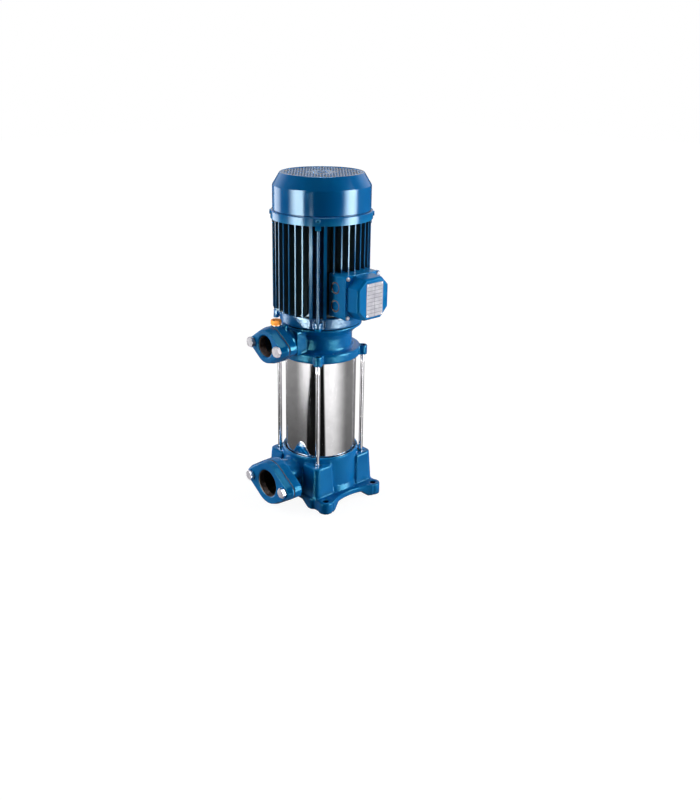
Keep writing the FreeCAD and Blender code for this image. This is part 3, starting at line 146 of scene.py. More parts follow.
def copy_of(piece: Object, name: str, place: Matrix) -> Object:
    """Copies a piece with its own mesh and moves the copy's mesh.

    Args:
        piece: Finished piece to copy.
        name: Name of the copy.
        place: Matrix that is applied to the copy's mesh.

    Returns:
        The copy.
    """
    copy = piece.copy()
    copy.data = piece.data.copy()
    copy.name = name
    copy.data.name = name
    bpy.context.scene.collection.objects.link(copy)
    copy.data.transform(place)
    return copy


def joined(pieces: Sequence[Object], name: str) -> Object:
    """Joins several objects into one mesh."""
    bpy.ops.object.select_all(action="DESELECT")
    for piece in pieces:
        piece.select_set(True)
    bpy.context.view_layer.objects.active = pieces[0]
    bpy.ops.object.join()
    pieces[0].name = name
    pieces[0].data.name = name
    return pieces[0]


def copy_of_node(node: str, name: str) -> Object:
    """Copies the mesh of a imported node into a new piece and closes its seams.

    Args:
        node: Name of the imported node.
        name: Name of the new piece.

    Returns:
        The new piece, with its doubles merged and no split normals.
    """
    source = frame["nodes"][node]
    piece = bpy.data.objects.new(name, source.data.copy())
    piece.data.name = name
    bpy.context.scene.collection.objects.link(piece)
    piece.data.materials.clear()
    activate(piece)
    bpy.ops.mesh.customdata_custom_splitnormals_clear()
    edit(piece)
    bpy.ops.mesh.select_all(action="SELECT")
    bpy.ops.mesh.remove_doubles(threshold=2e-6)
    leave_edit()
    return piece


def rounded(corners: Sequence[tuple[float, ...]], steps: int = 5) -> list[Point]:
    """Open profile with arcs at the corners that name a radius.

    Args:
        corners: Points (r, z) or (r, z, radius) in millimetres.
        steps: Points on each arc.

    Returns:
        The points of the profile in millimetres.
    """
    points: list[Point] = []
    for index, corner in enumerate(corners):
        here = Vector((corner[0], corner[1]))
        if len(corner) < 3 or index in (0, len(corners) - 1):
            points.append((here.x, here.y))
            continue
        back = (Vector(corners[index - 1][:2]) - here).normalized()
        ahead = (Vector(corners[index + 1][:2]) - here).normalized()
        half = back.angle(ahead) / 2
        reach = corner[2] / math.tan(half)
        centre = here + (back + ahead).normalized() * (corner[2] / math.sin(half))
        first = here + back * reach - centre
        turn = first.angle_signed(here + ahead * reach - centre)
        for step in range(steps + 1):
            angle = -turn * step / steps
            spoke = Vector((first.x * math.cos(angle) - first.y * math.sin(angle),
                            first.x * math.sin(angle) + first.y * math.cos(angle)))
            points.append((centre.x + spoke.x, centre.y + spoke.y))
    return points


def activate_none() -> None:
    """Deselects every object."""
    if bpy.context.mode != "OBJECT":
        leave_edit()
    bpy.ops.object.select_all(action="DESELECT")


def spun(name: str, profile: Sequence[Point], steps: int = 64, closed: bool = False) -> Object:
    """Turned piece: a profile drawn by extruding one vertex, then spun about Z.

    Args:
        name: Name of the piece.
        profile: Points (r, z) in millimetres.
        steps: Steps of the full turn.
        closed: Joins the last point to the first, for rings.

    Returns:
        The closed turned piece.
    """
    activate_none()
    bpy.ops.mesh.primitive_plane_add(size=MM, location=(0, 0, 0))
    piece = new_piece(name)
    edit(piece)
    bpy.ops.mesh.select_all(action="SELECT")
    bpy.ops.mesh.merge(type="CENTER")
    points = list(profile) + ([profile[0]] if closed else [])
    here = Vector((points[0][0], 0.0, points[0][1])) * MM
    bpy.ops.transform.translate(value=here)
    for r, z in points[1:]:
        there = Vector((r, 0.0, z)) * MM
        bpy.ops.mesh.extrude_region_move(TRANSFORM_OT_translate={"value": there - here})
        here = there
    bpy.ops.mesh.select_all(action="SELECT")
    bpy.ops.mesh.spin(steps=steps, angle=math.tau, center=(0, 0, 0), axis=(0, 0, 1))
    leave_edit()
    return clean(piece, 2e-6)


def along_x(x: float, y: float, z: float) -> Matrix:
    """Matrix that lays a piece turned about Z along -X at a place in millimetres."""
    return Matrix.Translation(Vector((x, y, z)) * MM) @ Matrix.Rotation(math.radians(-90), 4, "Y")


def along_y(x: float, y: float, z: float) -> Matrix:
    """Matrix that lays a piece turned about Z along -Y at a place in millimetres."""
    return Matrix.Translation(Vector((x, y, z)) * MM) @ Matrix.Rotation(math.radians(90), 4, "X")


class Graph:
    """A node tree with short calls for the nodes that the finishes use."""

    def __init__(self, tree: NodeTree) -> None:
        """Keeps the tree and empties it."""
        self.tree = tree
        self.tree.nodes.clear()

    def node(self, kind: str, **values: object) -> bpy.types.Node:
        """Adds a node and sets its properties."""
        node = self.tree.nodes.new(kind)
        for key, value in values.items():
            setattr(node, key, value)
        return node

    def put(self, socket: NodeSocket, value: object) -> None:
        """Links a socket to another, or sets its value."""
        if isinstance(value, NodeSocket):
            self.tree.links.new(value, socket)
        else:
            socket.default_value = value

    def math(self, operation: str, *values: Value) -> NodeSocket:
        """Math node on one to three values."""
        node = self.node("ShaderNodeMath", operation=operation)
        for socket, value in zip(node.inputs, values):
            self.put(socket, value)
        return node.outputs[0]

    def ramp(self, value: Value, low: float, high: float, first: Value = 0.0, last: Value = 1.0) -> NodeSocket:
        """Smooth step from first to last as the value goes from low to high."""
        node = self.node("ShaderNodeMapRange", interpolation_type="SMOOTHSTEP")
        for name, item in (("Value", value), ("From Min", low), ("From Max", high),
                           ("To Min", first), ("To Max", last)):
            self.put(node.inputs[name], item)
        return node.outputs[0]

    def line(self, value: Value, low: float, high: float, first: float, last: float) -> NodeSocket:
        """Straight change from first to last, held outside the range."""
        node = self.node("ShaderNodeMapRange", interpolation_type="LINEAR", clamp=True)
        for name, item in (("Value", value), ("From Min", low), ("From Max", high),
                           ("To Min", first), ("To Max", last)):
            self.put(node.inputs[name], item)
        return node.outputs[0]

    def blend(self, factor: Value, first: object, second: object, mode: str = "MIX") -> NodeSocket:
        """Mix of two colours."""
        node = self.node("ShaderNodeMix", data_type="RGBA", blend_type=mode)
        self.put(node.inputs["Factor"], factor)
        self.put(node.inputs[6], first)
        self.put(node.inputs[7], second)
        return node.outputs[2]

    def noise(self, vector: NodeSocket, size_mm: Value, detail: float = 2.0) -> NodeSocket:
        """Noise whose features are about size_mm wide on an object in metres."""
        node = self.node("ShaderNodeTexNoise", noise_dimensions="3D")
        self.put(node.inputs["Vector"], vector)
        scale = 1.0 / (size_mm * MM) if isinstance(size_mm, float) else self.math("DIVIDE", 1.0 / MM, size_mm)
        self.put(node.inputs["Scale"], scale)
        self.put(node.inputs["Detail"], detail)
        return node.outputs["Fac"]

    def split(self, vector: NodeSocket) -> tuple[NodeSocket, NodeSocket, NodeSocket]:
        """The three parts of a vector."""
        node = self.node("ShaderNodeSeparateXYZ")
        self.put(node.inputs[0], vector)
        return node.outputs[0], node.outputs[1], node.outputs[2]

    def place(self) -> NodeSocket:
        """Object coordinates in metres."""
        return self.node("ShaderNodeTexCoord").outputs["Object"]

    def apply(self, group: NodeTree, **values: object) -> bpy.types.Node:
        """Places a node group and sets its named inputs."""
        node = self.node("ShaderNodeGroup", node_tree=group)
        for key, value in values.items():
            self.put(node.inputs[key], value)
        return node


def node_group(name: str, inputs: dict[str, str], outputs: dict[str, str]) -> NodeTree:
    """Empty shader node group with typed sockets.

    Args:
        name: Name of the group.
        inputs: Socket types by name.
        outputs: Socket types by name.

    Returns:
        The node tree.
    """
    tree = bpy.data.node_groups.new(name, "ShaderNodeTree")
    for way, sockets in (("INPUT", inputs), ("OUTPUT", outputs)):
        for key, kind in sockets.items():
            tree.interface.new_socket(key, in_out=way, socket_type="NodeSocket" + kind)
    return tree


def grain_group() -> NodeTree:
    """Surface grain: a coarse and a fine noise put together as one height."""
    tree = node_group("grain", {"Place": "Vector", "Size": "Float"}, {"Height": "Float"})
    graph = Graph(tree)
    start, end = graph.node("NodeGroupInput"), graph.node("NodeGroupOutput")
    coarse = graph.noise(start.outputs["Place"], start.outputs["Size"], 1.5)
    half = graph.math("MULTIPLY", start.outputs["Size"], 0.4)
    fine = graph.noise(start.outputs["Place"], half, 1.0)
    total = graph.math("ADD", graph.math("MULTIPLY", coarse, 0.7), graph.math("MULTIPLY", fine, 0.3))
    graph.put(end.inputs["Height"], total)
    return tree


def edge_highlight_group() -> NodeTree:
    """Mask of outer edges, broken up by noise, for painted highlights: lighter paint in place of the light that the
    edges catch.
    """
    tree = node_group("edge_highlight_mask", {"Place": "Vector", "Sharpness": "Float"}, {"Mask": "Float"})
    graph = Graph(tree)
    start, end = graph.node("NodeGroupInput"), graph.node("NodeGroupOutput")
    pointiness = graph.node("ShaderNodeNewGeometry").outputs["Pointiness"]
    patchy = graph.noise(start.outputs["Place"], 6.0, 2.0)
    shifted = graph.math("ADD", pointiness, graph.math("MULTIPLY", patchy, 0.02))
    risen = graph.math("SUBTRACT", shifted, 0.525)
    graph.put(end.inputs["Mask"], graph.math("MULTIPLY", risen, start.outputs["Sharpness"]))
    return tree


def crevice_shade_group() -> NodeTree:
    """Ambient-occlusion mask of deep corners and gaps, for painted shade that darkens the paint there."""
    tree = node_group("crevice", {"Reach": "Float"}, {"Mask": "Float"})
    graph = Graph(tree)
    start, end = graph.node("NodeGroupInput"), graph.node("NodeGroupOutput")
    open_sky = graph.node("ShaderNodeAmbientOcclusion", samples=6)
    graph.put(open_sky.inputs["Distance"], start.outputs["Reach"])
    graph.put(end.inputs["Mask"], graph.ramp(open_sky.outputs["AO"], 0.66, 0.22))
    return tree


def dust_group() -> NodeTree:
    """Mask of fine dust on faces that look up."""
    tree = node_group("dust", {"Place": "Vector", "Amount": "Float"}, {"Mask": "Float"})
    graph = Graph(tree)
    start, end = graph.node("NodeGroupInput"), graph.node("NodeGroupOutput")
    normal = graph.node("ShaderNodeNewGeometry").outputs["Normal"]
    up = graph.ramp(graph.split(normal)[2], 0.6, 1.0)
    patchy = graph.ramp(graph.noise(start.outputs["Place"], 9.0, 4.0), 0.35, 0.75)
    mask = graph.math("MULTIPLY", graph.math("MULTIPLY", up, patchy), start.outputs["Amount"])
    graph.put(end.inputs["Mask"], mask)
    return tree


GRAIN = grain_group()
EDGE_HIGHLIGHT = edge_highlight_group()
CREVICE_SHADE = crevice_shade_group()
DUST = dust_group()


@dataclass(frozen=True)
class Finish:
    """A finish that makes its material once and hands it to every piece that wears it."""

    name: str

    def shade(self, graph: Graph, shader: bpy.types.Node) -> None:
        """Sets and links the sockets of the Principled shader; each finish has its own."""
        raise NotImplementedError

    def material(self) -> Material:
        """The material of this finish, made at its first use."""
        if self.name in bpy.data.materials:
            return bpy.data.materials[self.name]
        material = bpy.data.materials.new(self.name)
        material.use_nodes = True
        graph = Graph(material.node_tree)
        shader = graph.node("ShaderNodeBsdfPrincipled")
        out = graph.node("ShaderNodeOutputMaterial")
        self.shade(graph, shader)
        graph.put(out.inputs["Surface"], shader.outputs[0])
        return material

    def dress(self, piece: Object) -> Object:
        """Puts the material on a piece as its only one."""
        piece.data.materials.clear()
        piece.data.materials.append(self.material())
        for face in piece.data.polygons:
            face.material_index = 0
        return piece


def bump(graph: Graph, shader: bpy.types.Node, height: NodeSocket, depth_mm: float, strength: float = 1.0) -> None:
    """Feeds a height through a Bump node to the shader's normal."""
    node = graph.node("ShaderNodeBump")
    node.inputs["Strength"].default_value = strength
    node.inputs["Distance"].default_value = depth_mm * MM
    graph.put(node.inputs["Height"], height)
    graph.put(shader.inputs["Normal"], node.outputs[0])


@dataclass(frozen=True)
class Passage:
    """Unpainted inside of a casting: a bore along X and a round chamber about Z, in millimetres."""

    bore_z: float
    bore_r: float
    chamber_r: float
    chamber_low_z: float
    chamber_high_z: float

    def mask(self, graph: Graph) -> NodeSocket:
        """One inside the bore or the chamber, and zero on the painted outside."""
        x, y, z = graph.split(graph.place())
        rise = graph.math("SUBTRACT", z, self.bore_z * MM)
        reach = graph.math("SQRT", graph.math("ADD", graph.math("POWER", y, 2.0), graph.math("POWER", rise, 2.0)))
        in_bore = graph.math("MULTIPLY", graph.math("LESS_THAN", reach, (self.bore_r + 0.8) * MM),
                             graph.math("LESS_THAN", x, -0.03))
        radius = graph.math("SQRT", graph.math("ADD", graph.math("POWER", x, 2.0), graph.math("POWER", y, 2.0)))
        in_chamber = graph.math("LESS_THAN", radius, (self.chamber_r + 0.9) * MM)
        in_chamber = graph.math("MULTIPLY", in_chamber, graph.math("GREATER_THAN", z, self.chamber_low_z * MM))
        in_chamber = graph.math("MULTIPLY", in_chamber, graph.math("LESS_THAN", z, self.chamber_high_z * MM))
        return graph.math("MAXIMUM", in_bore, in_chamber)


@dataclass(frozen=True)
class FinGaps:
    """Depth of the gaps between the fins, away from the bolt channels, where hardly any light comes in."""

    root_r: float = 84.5
    tip_r: float = 89.2
    channel_deg: float = 9.4
    shade: Colour = colour(0.05, 0.07, 0.072)

    def mask(self, graph: Graph) -> NodeSocket:
        """One at the bottom of a gap, falling to zero at the tips of the fins."""
        x, y, _ = graph.split(graph.place())
        radius = graph.math("SQRT", graph.math("ADD", graph.math("POWER", x, 2.0), graph.math("POWER", y, 2.0)))
        depth = graph.line(radius, self.root_r * MM, self.tip_r * MM, 1.0, 0.0)
        turn = graph.math("ARCTAN2", graph.math("ABSOLUTE", y), graph.math("ABSOLUTE", x))
        aside = graph.math("ABSOLUTE", graph.math("SUBTRACT", turn, math.pi / 4))
        outside = graph.math("GREATER_THAN", aside, math.radians(self.channel_deg))
        return graph.math("MULTIPLY", depth, outside)


@dataclass(frozen=True)
class FlangeGapShade:
    """Painted shade in the narrow deep gap between the back of a port flange and the body behind it, in millimetres."""

    back_x: float
    reach: float
    half_y: float
    low_z: float
    high_z: float
    shade: Colour = colour(0.006, 0.012, 0.022)

    def mask(self, graph: Graph) -> NodeSocket:
        """One in the gap, with soft ends, and zero elsewhere."""
        x, y, z = graph.split(graph.place())
        behind = graph.ramp(x, (self.back_x - 1.2) * MM, (self.back_x + 0.6) * MM)
        ahead = graph.ramp(x, (self.back_x + self.reach) * MM, (self.back_x + self.reach * 0.5) * MM)
        aside = graph.ramp(graph.math("ABSOLUTE", y), self.half_y * MM, (self.half_y - 5.0) * MM)
        above = graph.ramp(z, self.high_z * MM, (self.high_z - 8.0) * MM)
        below = graph.ramp(z, self.low_z * MM, (self.low_z + 4.0) * MM)
        level = graph.math("MULTIPLY", above, below)
        return graph.math("MULTIPLY", graph.math("MULTIPLY", behind, ahead), graph.math("MULTIPLY", aside, level))


@dataclass(frozen=True)
class Enamel(Finish):
    """Gloss blue enamel over metal, with the grain of what lies under it."""

    grain_mm: float = 2.0
    grain_depth_mm: float = 0.05
    roughness: float = 0.22
    gloss: float = 0.5
    sheen: Colour = colour(0.66, 0.9, 1.0)
    edge_highlight_amount: float = 0.8
    reach_mm: float = 20.0
    tint: Colour = colour(0.0, 0.142, 0.4)
    deep: Colour = colour(0.0, 0.118, 0.36)
    inside: Optional[Passage] = None
    gaps: Optional[Union[FinGaps, FlangeGapShade]] = None

    def shade(self, graph: Graph, shader: bpy.types.Node) -> None:
        """Paint colour with slow variation, painted highlights on edges, painted shade in corners and gaps, dust, and
        bare iron inside.
        """
        place = graph.place()
        patch = graph.noise(place, 45.0, 3.0)
        paint = graph.blend(graph.ramp(patch, 0.3, 0.7), self.deep, self.tint)
        # painted highlight: outer edges turned lighter blue in place of the light they catch
        edges = graph.apply(EDGE_HIGHLIGHT, Place=place, Sharpness=9.0).outputs["Mask"]
        edges = graph.ramp(edges, 0.0, 1.0, 0.0, self.edge_highlight_amount)
        paint = graph.blend(edges, paint, colour(0.02, 0.4, 0.72))
        dust = graph.apply(DUST, Place=place, Amount=0.06).outputs["Mask"]
        paint = graph.blend(dust, paint, colour(0.2, 0.36, 0.5))
        # painted shade: deep corners and gaps darkened towards near black
        painted_shade = graph.apply(CREVICE_SHADE, Reach=self.reach_mm * MM).outputs["Mask"]
        paint = graph.blend(painted_shade, paint, colour(0.006, 0.009, 0.016))
        rough = graph.math("ADD", graph.ramp(patch, 0.25, 0.75, self.roughness - 0.03, self.roughness + 0.05),
                           graph.math("MULTIPLY", dust, 1.6))
        # painted shade: the gaps between the fins and behind the port flanges take their dark shade colour
        if self.gaps is not None:
            paint = graph.blend(self.gaps.mask(graph), paint, self.gaps.shade)
        if self.inside is not None:
            bare = self.inside.mask(graph)
            rust = graph.ramp(graph.noise(place, 5.0, 4.0), 0.4, 0.65)
            iron = graph.blend(rust, colour(0.02, 0.016, 0.014), colour(0.035, 0.02, 0.012))
            paint = graph.blend(bare, paint, iron)
            rough = graph.math("ADD", rough, graph.math("MULTIPLY", bare, 0.35))
        graph.put(shader.inputs["Base Color"], paint)
        graph.put(shader.inputs["Roughness"], rough)
        shader.inputs["Specular IOR Level"].default_value = self.gloss
        shader.inputs["Specular Tint"].default_value = self.sheen
        grain = graph.apply(GRAIN, Place=place, Size=self.grain_mm).outputs["Height"]
        bump(graph, shader, grain, self.grain_depth_mm)


@dataclass(frozen=True)
class Metal(Finish):
    """Bare or plated metal with fine machining lines or a brushed look."""

    tint: Colour = colour(0.7, 0.7, 0.72)
    shade_tint: Colour = colour(0.55, 0.55, 0.57)
    roughness: float = 0.2
    grain_mm: float = 1.2
    grain_depth_mm: float = 0.01
    line_mm: float = 0.0
    line_depth_mm: float = 0.004

    def shade(self, graph: Graph, shader: bpy.types.Node) -> None:
        """Metal colour and roughness with cloudy variation, grain and, where named, lines round Z."""
        place = graph.place()
        cloud = graph.ramp(graph.noise(place, 14.0, 4.0), 0.3, 0.7)
        graph.put(shader.inputs["Base Color"], graph.blend(cloud, self.shade_tint, self.tint))
        graph.put(shader.inputs["Roughness"], graph.line(cloud, 0.0, 1.0, self.roughness * 1.25, self.roughness))
        shader.inputs["Metallic"].default_value = 1.0
        height = graph.apply(GRAIN, Place=place, Size=self.grain_mm).outputs["Height"]
        depth = self.grain_depth_mm
        if self.line_mm > 0.0:
            _, _, z = graph.split(place)
            wave = graph.math("SINE", graph.math("MULTIPLY", z, math.tau / (self.line_mm * MM)))
            height = graph.math("ADD", graph.math("MULTIPLY", wave, 0.5), height)
            depth = self.line_depth_mm
        bump(graph, shader, height, depth)


@dataclass(frozen=True)
class Moulded(Finish):
    """Plastic, rubber, ceramic or varnish: one colour with mottling and a fine moulded grain."""

    tint: Colour = colour(0.03, 0.03, 0.035)
    mottle: Colour = colour(0.045, 0.045, 0.05)
    roughness: float = 0.5
    grain_mm: float = 1.0
    grain_depth_mm: float = 0.03

    def shade(self, graph: Graph, shader: bpy.types.Node) -> None:
        """Mottled colour, roughness that follows it, and grain."""
        place = graph.place()
        cloud = graph.ramp(graph.noise(place, 8.0, 4.0), 0.35, 0.65)
        graph.put(shader.inputs["Base Color"], graph.blend(cloud, self.tint, self.mottle))
        graph.put(shader.inputs["Roughness"], graph.line(cloud, 0.0, 1.0, self.roughness, self.roughness * 1.2))
        height = graph.apply(GRAIN, Place=place, Size=self.grain_mm).outputs["Height"]
        bump(graph, shader, height, self.grain_depth_mm)


@dataclass(frozen=True)
class RatingPlateFinish(Finish):
    """Satin white printed metal with blank ruled fields and no lettering."""

    low_x: float = -17.0
    high_x: float = 21.5
    low_z: float = 376.5
    high_z: float = 436.0
    rows: int = 9
    rule_mm: float = 0.7

    def shade(self, graph: Graph, shader: bpy.types.Node) -> None:
        """White ground, thin grey rules between the rows and one upright rule."""
        place = graph.place()
        x, _, z = graph.split(place)
        row = (self.high_z - self.low_z) / self.rows
        phase = graph.math("PINGPONG", graph.math("SUBTRACT", z, self.low_z * MM), row * MM / 2)
        rules = graph.math("LESS_THAN", phase, self.rule_mm * MM / 2)
        middle = (self.low_x + self.high_x) / 2
        aside = graph.math("ABSOLUTE", graph.math("SUBTRACT", x, middle * MM))
        upright = graph.math("LESS_THAN", aside, self.rule_mm * MM / 2)
        rules = graph.math("MAXIMUM", rules, upright)
        edge_x = graph.math("GREATER_THAN", aside, ((self.high_x - self.low_x) / 2 - 1.6) * MM)
        rules = graph.math("MULTIPLY", rules, graph.math("SUBTRACT", 1.0, edge_x))
        cloud = graph.ramp(graph.noise(place, 7.0, 4.0), 0.3, 0.7)
        ground = graph.blend(cloud, colour(0.52, 0.51, 0.57), colour(0.66, 0.65, 0.7))
        graph.put(shader.inputs["Base Color"], graph.blend(rules, ground, colour(0.2, 0.21, 0.27)))
        graph.put(shader.inputs["Roughness"], graph.line(cloud, 0.0, 1.0, 0.5, 0.42))
        shader.inputs["Specular IOR Level"].default_value = 0.1
        height = graph.apply(GRAIN, Place=place, Size=1.5).outputs["Height"]
        bump(graph, shader, height, 0.01)


BASE_INSIDE = Passage(bore_z=47.5, bore_r=27.2, chamber_r=56.0, chamber_low_z=19.0, chamber_high_z=84.5)
HEAD_INSIDE = Passage(bore_z=314.8, bore_r=19.0, chamber_r=50.0, chamber_low_z=270.0, chamber_high_z=323.0)
# painted shade behind the suction and the delivery flange
BASE_GAP_SHADE = FlangeGapShade(back_x=-99.0, reach=27.0, half_y=64.0, low_z=8.0, high_z=62.0)
HEAD_GAP_SHADE = FlangeGapShade(back_x=-97.0, reach=8.0, half_y=46.0, low_z=280.0, high_z=346.0)

DEEP_SHEEN = colour(0.2, 0.9, 1.0)
SHEET_ENAMEL = Enamel("blue_enamel_sheet", grain_mm=9.0, grain_depth_mm=0.01, roughness=0.13, reach_mm=6.0)
ALLOY_ENAMEL = Enamel("blue_enamel_alloy", grain_mm=4.0, grain_depth_mm=0.02, roughness=0.15, gloss=0.4,
                      sheen=DEEP_SHEEN, reach_mm=8.0,
                      tint=colour(0.0, 0.19, 0.53), deep=colour(0.0, 0.16, 0.47))
BOLT_ENAMEL = Enamel("blue_enamel_bolts", roughness=0.12, gloss=0.45, reach_mm=2.0)
FRAME_ENAMEL = Enamel("blue_enamel_fins", grain_mm=8.0, grain_depth_mm=0.01, roughness=0.1, edge_highlight_amount=0.2,
                      gaps=FinGaps())
CAST_ENAMEL = Enamel("blue_enamel_cast", grain_mm=4.0, grain_depth_mm=0.4, roughness=0.16, gloss=1.0)
BASE_ENAMEL = Enamel("blue_enamel_base", grain_mm=3.2, grain_depth_mm=0.12, roughness=0.18, gloss=0.25, sheen=DEEP_SHEEN,
                     reach_mm=34.0, inside=BASE_INSIDE, gaps=BASE_GAP_SHADE)
HEAD_ENAMEL = Enamel("blue_enamel_head", grain_mm=4.0, grain_depth_mm=0.4, roughness=0.16, gloss=0.42, sheen=DEEP_SHEEN,
                     reach_mm=26.0, inside=HEAD_INSIDE, gaps=HEAD_GAP_SHADE)
FLANGE_ENAMEL = Enamel("blue_enamel_flange", grain_mm=3.0, grain_depth_mm=0.08, roughness=0.17, gloss=0.25,
                       sheen=DEEP_SHEEN)
PLATED = Metal("zinc_plated_steel", tint=colour(0.86, 0.84, 0.88), shade_tint=colour(0.6, 0.56, 0.62), roughness=0.3)
SLEEVE_STEEL = Metal("polished_sleeve_steel", tint=colour(0.8, 0.79, 0.8), shade_tint=colour(0.74, 0.73, 0.74),
                     roughness=0.05, line_mm=1.3, line_depth_mm=0.0008)
ROD_STEEL = Metal("polished_rod_steel", tint=colour(0.92, 0.91, 0.93), shade_tint=colour(0.8, 0.79, 0.82),
                  roughness=0.07, line_mm=0.8, line_depth_mm=0.001)
BRASS = Metal("machined_brass", tint=colour(0.85, 0.34, 0.07), shade_tint=colour(0.7, 0.24, 0.04),
              roughness=0.42, line_mm=0.5, line_depth_mm=0.004)
GROUND_STEEL = Metal("ground_steel", tint=colour(0.5, 0.5, 0.52), shade_tint=colour(0.36, 0.36, 0.38), roughness=0.28)
LAMINATION = Metal("stacked_laminations", tint=colour(0.26, 0.26, 0.28), shade_tint=colour(0.14, 0.14, 0.15),
                   roughness=0.4, line_mm=0.65, line_depth_mm=0.05)
THREAD_IRON = Metal("bare_thread_iron", tint=colour(0.07, 0.055, 0.05), shade_tint=colour(0.03, 0.022, 0.02),
                    roughness=0.42, grain_depth_mm=0.05)
COPPER = Metal("varnished_copper", tint=colour(0.62, 0.2, 0.08), shade_tint=colour(0.4, 0.1, 0.03), roughness=0.35)
GASKET = Moulded("gasket_sheet", tint=colour(0.045, 0.03, 0.022), mottle=colour(0.07, 0.045, 0.03), roughness=0.7)
POLYMER = Moulded("stage_polymer", tint=colour(0.06, 0.06, 0.065), mottle=colour(0.09, 0.09, 0.095), roughness=0.35)
BLACK_PLASTIC = Moulded("black_plastic", tint=colour(0.012, 0.012, 0.013), mottle=colour(0.02, 0.02, 0.022))
SEAL_CERAMIC = Moulded("seal_ceramic", tint=colour(0.6, 0.58, 0.52), mottle=colour(0.5, 0.48, 0.43), roughness=0.3)
SCREW_ZINC = Moulded("zinc_flake_screws", tint=colour(0.8, 0.78, 0.82), mottle=colour(0.6, 0.57, 0.62),
                     roughness=0.3)
PLATE_PRINT = RatingPlateFinish("rating_plate_print")


class Body(Enum):
    """Bodies that the pieces ride on."""

    FIXED = ROOT_BODY
    ROTOR = ROTOR_BODY
    BLEED = BLEED_BODY


def fit(piece: Object, finish: Finish, body: Body, slot: str, nodes: Iterable[str] = ()) -> Object:
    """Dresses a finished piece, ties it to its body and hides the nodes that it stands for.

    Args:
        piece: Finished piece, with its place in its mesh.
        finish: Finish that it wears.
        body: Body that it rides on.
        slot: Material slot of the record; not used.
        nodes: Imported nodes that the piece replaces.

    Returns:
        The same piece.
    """
    finish.dress(piece)
    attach(piece, body.value)
    for node in nodes:
        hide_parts(node)
    LOG.info("%s: %d faces, %s", piece.name, len(piece.data.polygons), finish.name)
    return piece


def node_box(node: str) -> tuple[Vector, Vector]:
    """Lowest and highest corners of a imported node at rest, in metres."""
    low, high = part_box(node)
    return Vector(low), Vector(high)


def slot_of(node: str) -> str:
    """Material slot that the record gives a node."""
    for part in frame["record"]["subparts"]:
        if part["node"] == node:
            return part["material_slot"]
    raise KeyError(node)


@dataclass
class Casting:
    """A sand casting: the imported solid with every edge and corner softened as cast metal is."""

    node: str
    finish: Finish
    voxel_mm: float = 1.2
    passes: int = 5

    def build(self) -> Object:
        """Closes the copy, remeshes it evenly and rubs its edges round.

        Returns:
            The casting, dressed and in place of its node.
        """
        piece = copy_of_node(self.node, self.node + "_casting")
        modify(piece, "REMESH", mode="VOXEL", voxel_size=self.voxel_mm * MM, use_smooth_shade=True)
        modify(piece, "SMOOTH", factor=0.5, iterations=self.passes)
        return fit(piece, self.finish, Body.FIXED, slot_of(self.node), [self.node])


@dataclass
class SoftEdged:
    """A machined, pressed or die-cast piece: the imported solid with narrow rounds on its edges."""

    node: str
    finish: Finish
    width_mm: float = 0.4
    segments: int = 2
    angle_deg: float = 28.0
    body: Body = Body.FIXED

    def build(self) -> Object:
        """Dissolves flat faces of the copy and rounds its sharp edges.

        Returns:
            The piece, dressed and in place of its node.
        """
        piece = copy_of_node(self.node, self.node + "_finished")
        edit(piece, "FACE")
        bpy.ops.mesh.select_all(action="SELECT")
        bpy.ops.mesh.dissolve_limited(angle_limit=math.radians(0.4))
        leave_edit()
        modify(piece, "BEVEL", width=self.width_mm * MM, segments=self.segments, limit_method="ANGLE",
               angle_limit=math.radians(self.angle_deg), use_clamp_overlap=True)
        smooth(piece, 48.0)
        return fit(piece, self.finish, self.body, slot_of(self.node), [self.node])


@dataclass
class Sleeve:
    """Polished steel sleeve, turned in fine steps with a small round at both ends."""

    wall: float = 1.5
    edge_r: float = 0.4
    steps: int = 144

    def build(self) -> Object:
        """Spins the wall of the sleeve between the heights of its node.

        Returns:
            The sleeve, dressed and in place of its node.
        """
        low, high = (corner / MM for corner in node_box("outer_sleeve"))
        outer, inner = high.x, high.x - self.wall
        corners = [
            (inner, low.z + 2.0),
            (inner, low.z, self.edge_r),
            (outer, low.z, self.edge_r),
            (outer, low.z + 2.0),
            (outer, high.z - 2.0),
            (outer, high.z, self.edge_r),
            (inner, high.z, self.edge_r),
            (inner, high.z - 2.0),
        ]
        sleeve = spun("outer_sleeve_turned", rounded(corners, 3), self.steps, closed=True)
        smooth(sleeve, 48.0)
        return fit(sleeve, SLEEVE_STEEL, Body.FIXED, slot_of("outer_sleeve"), ["outer_sleeve"])


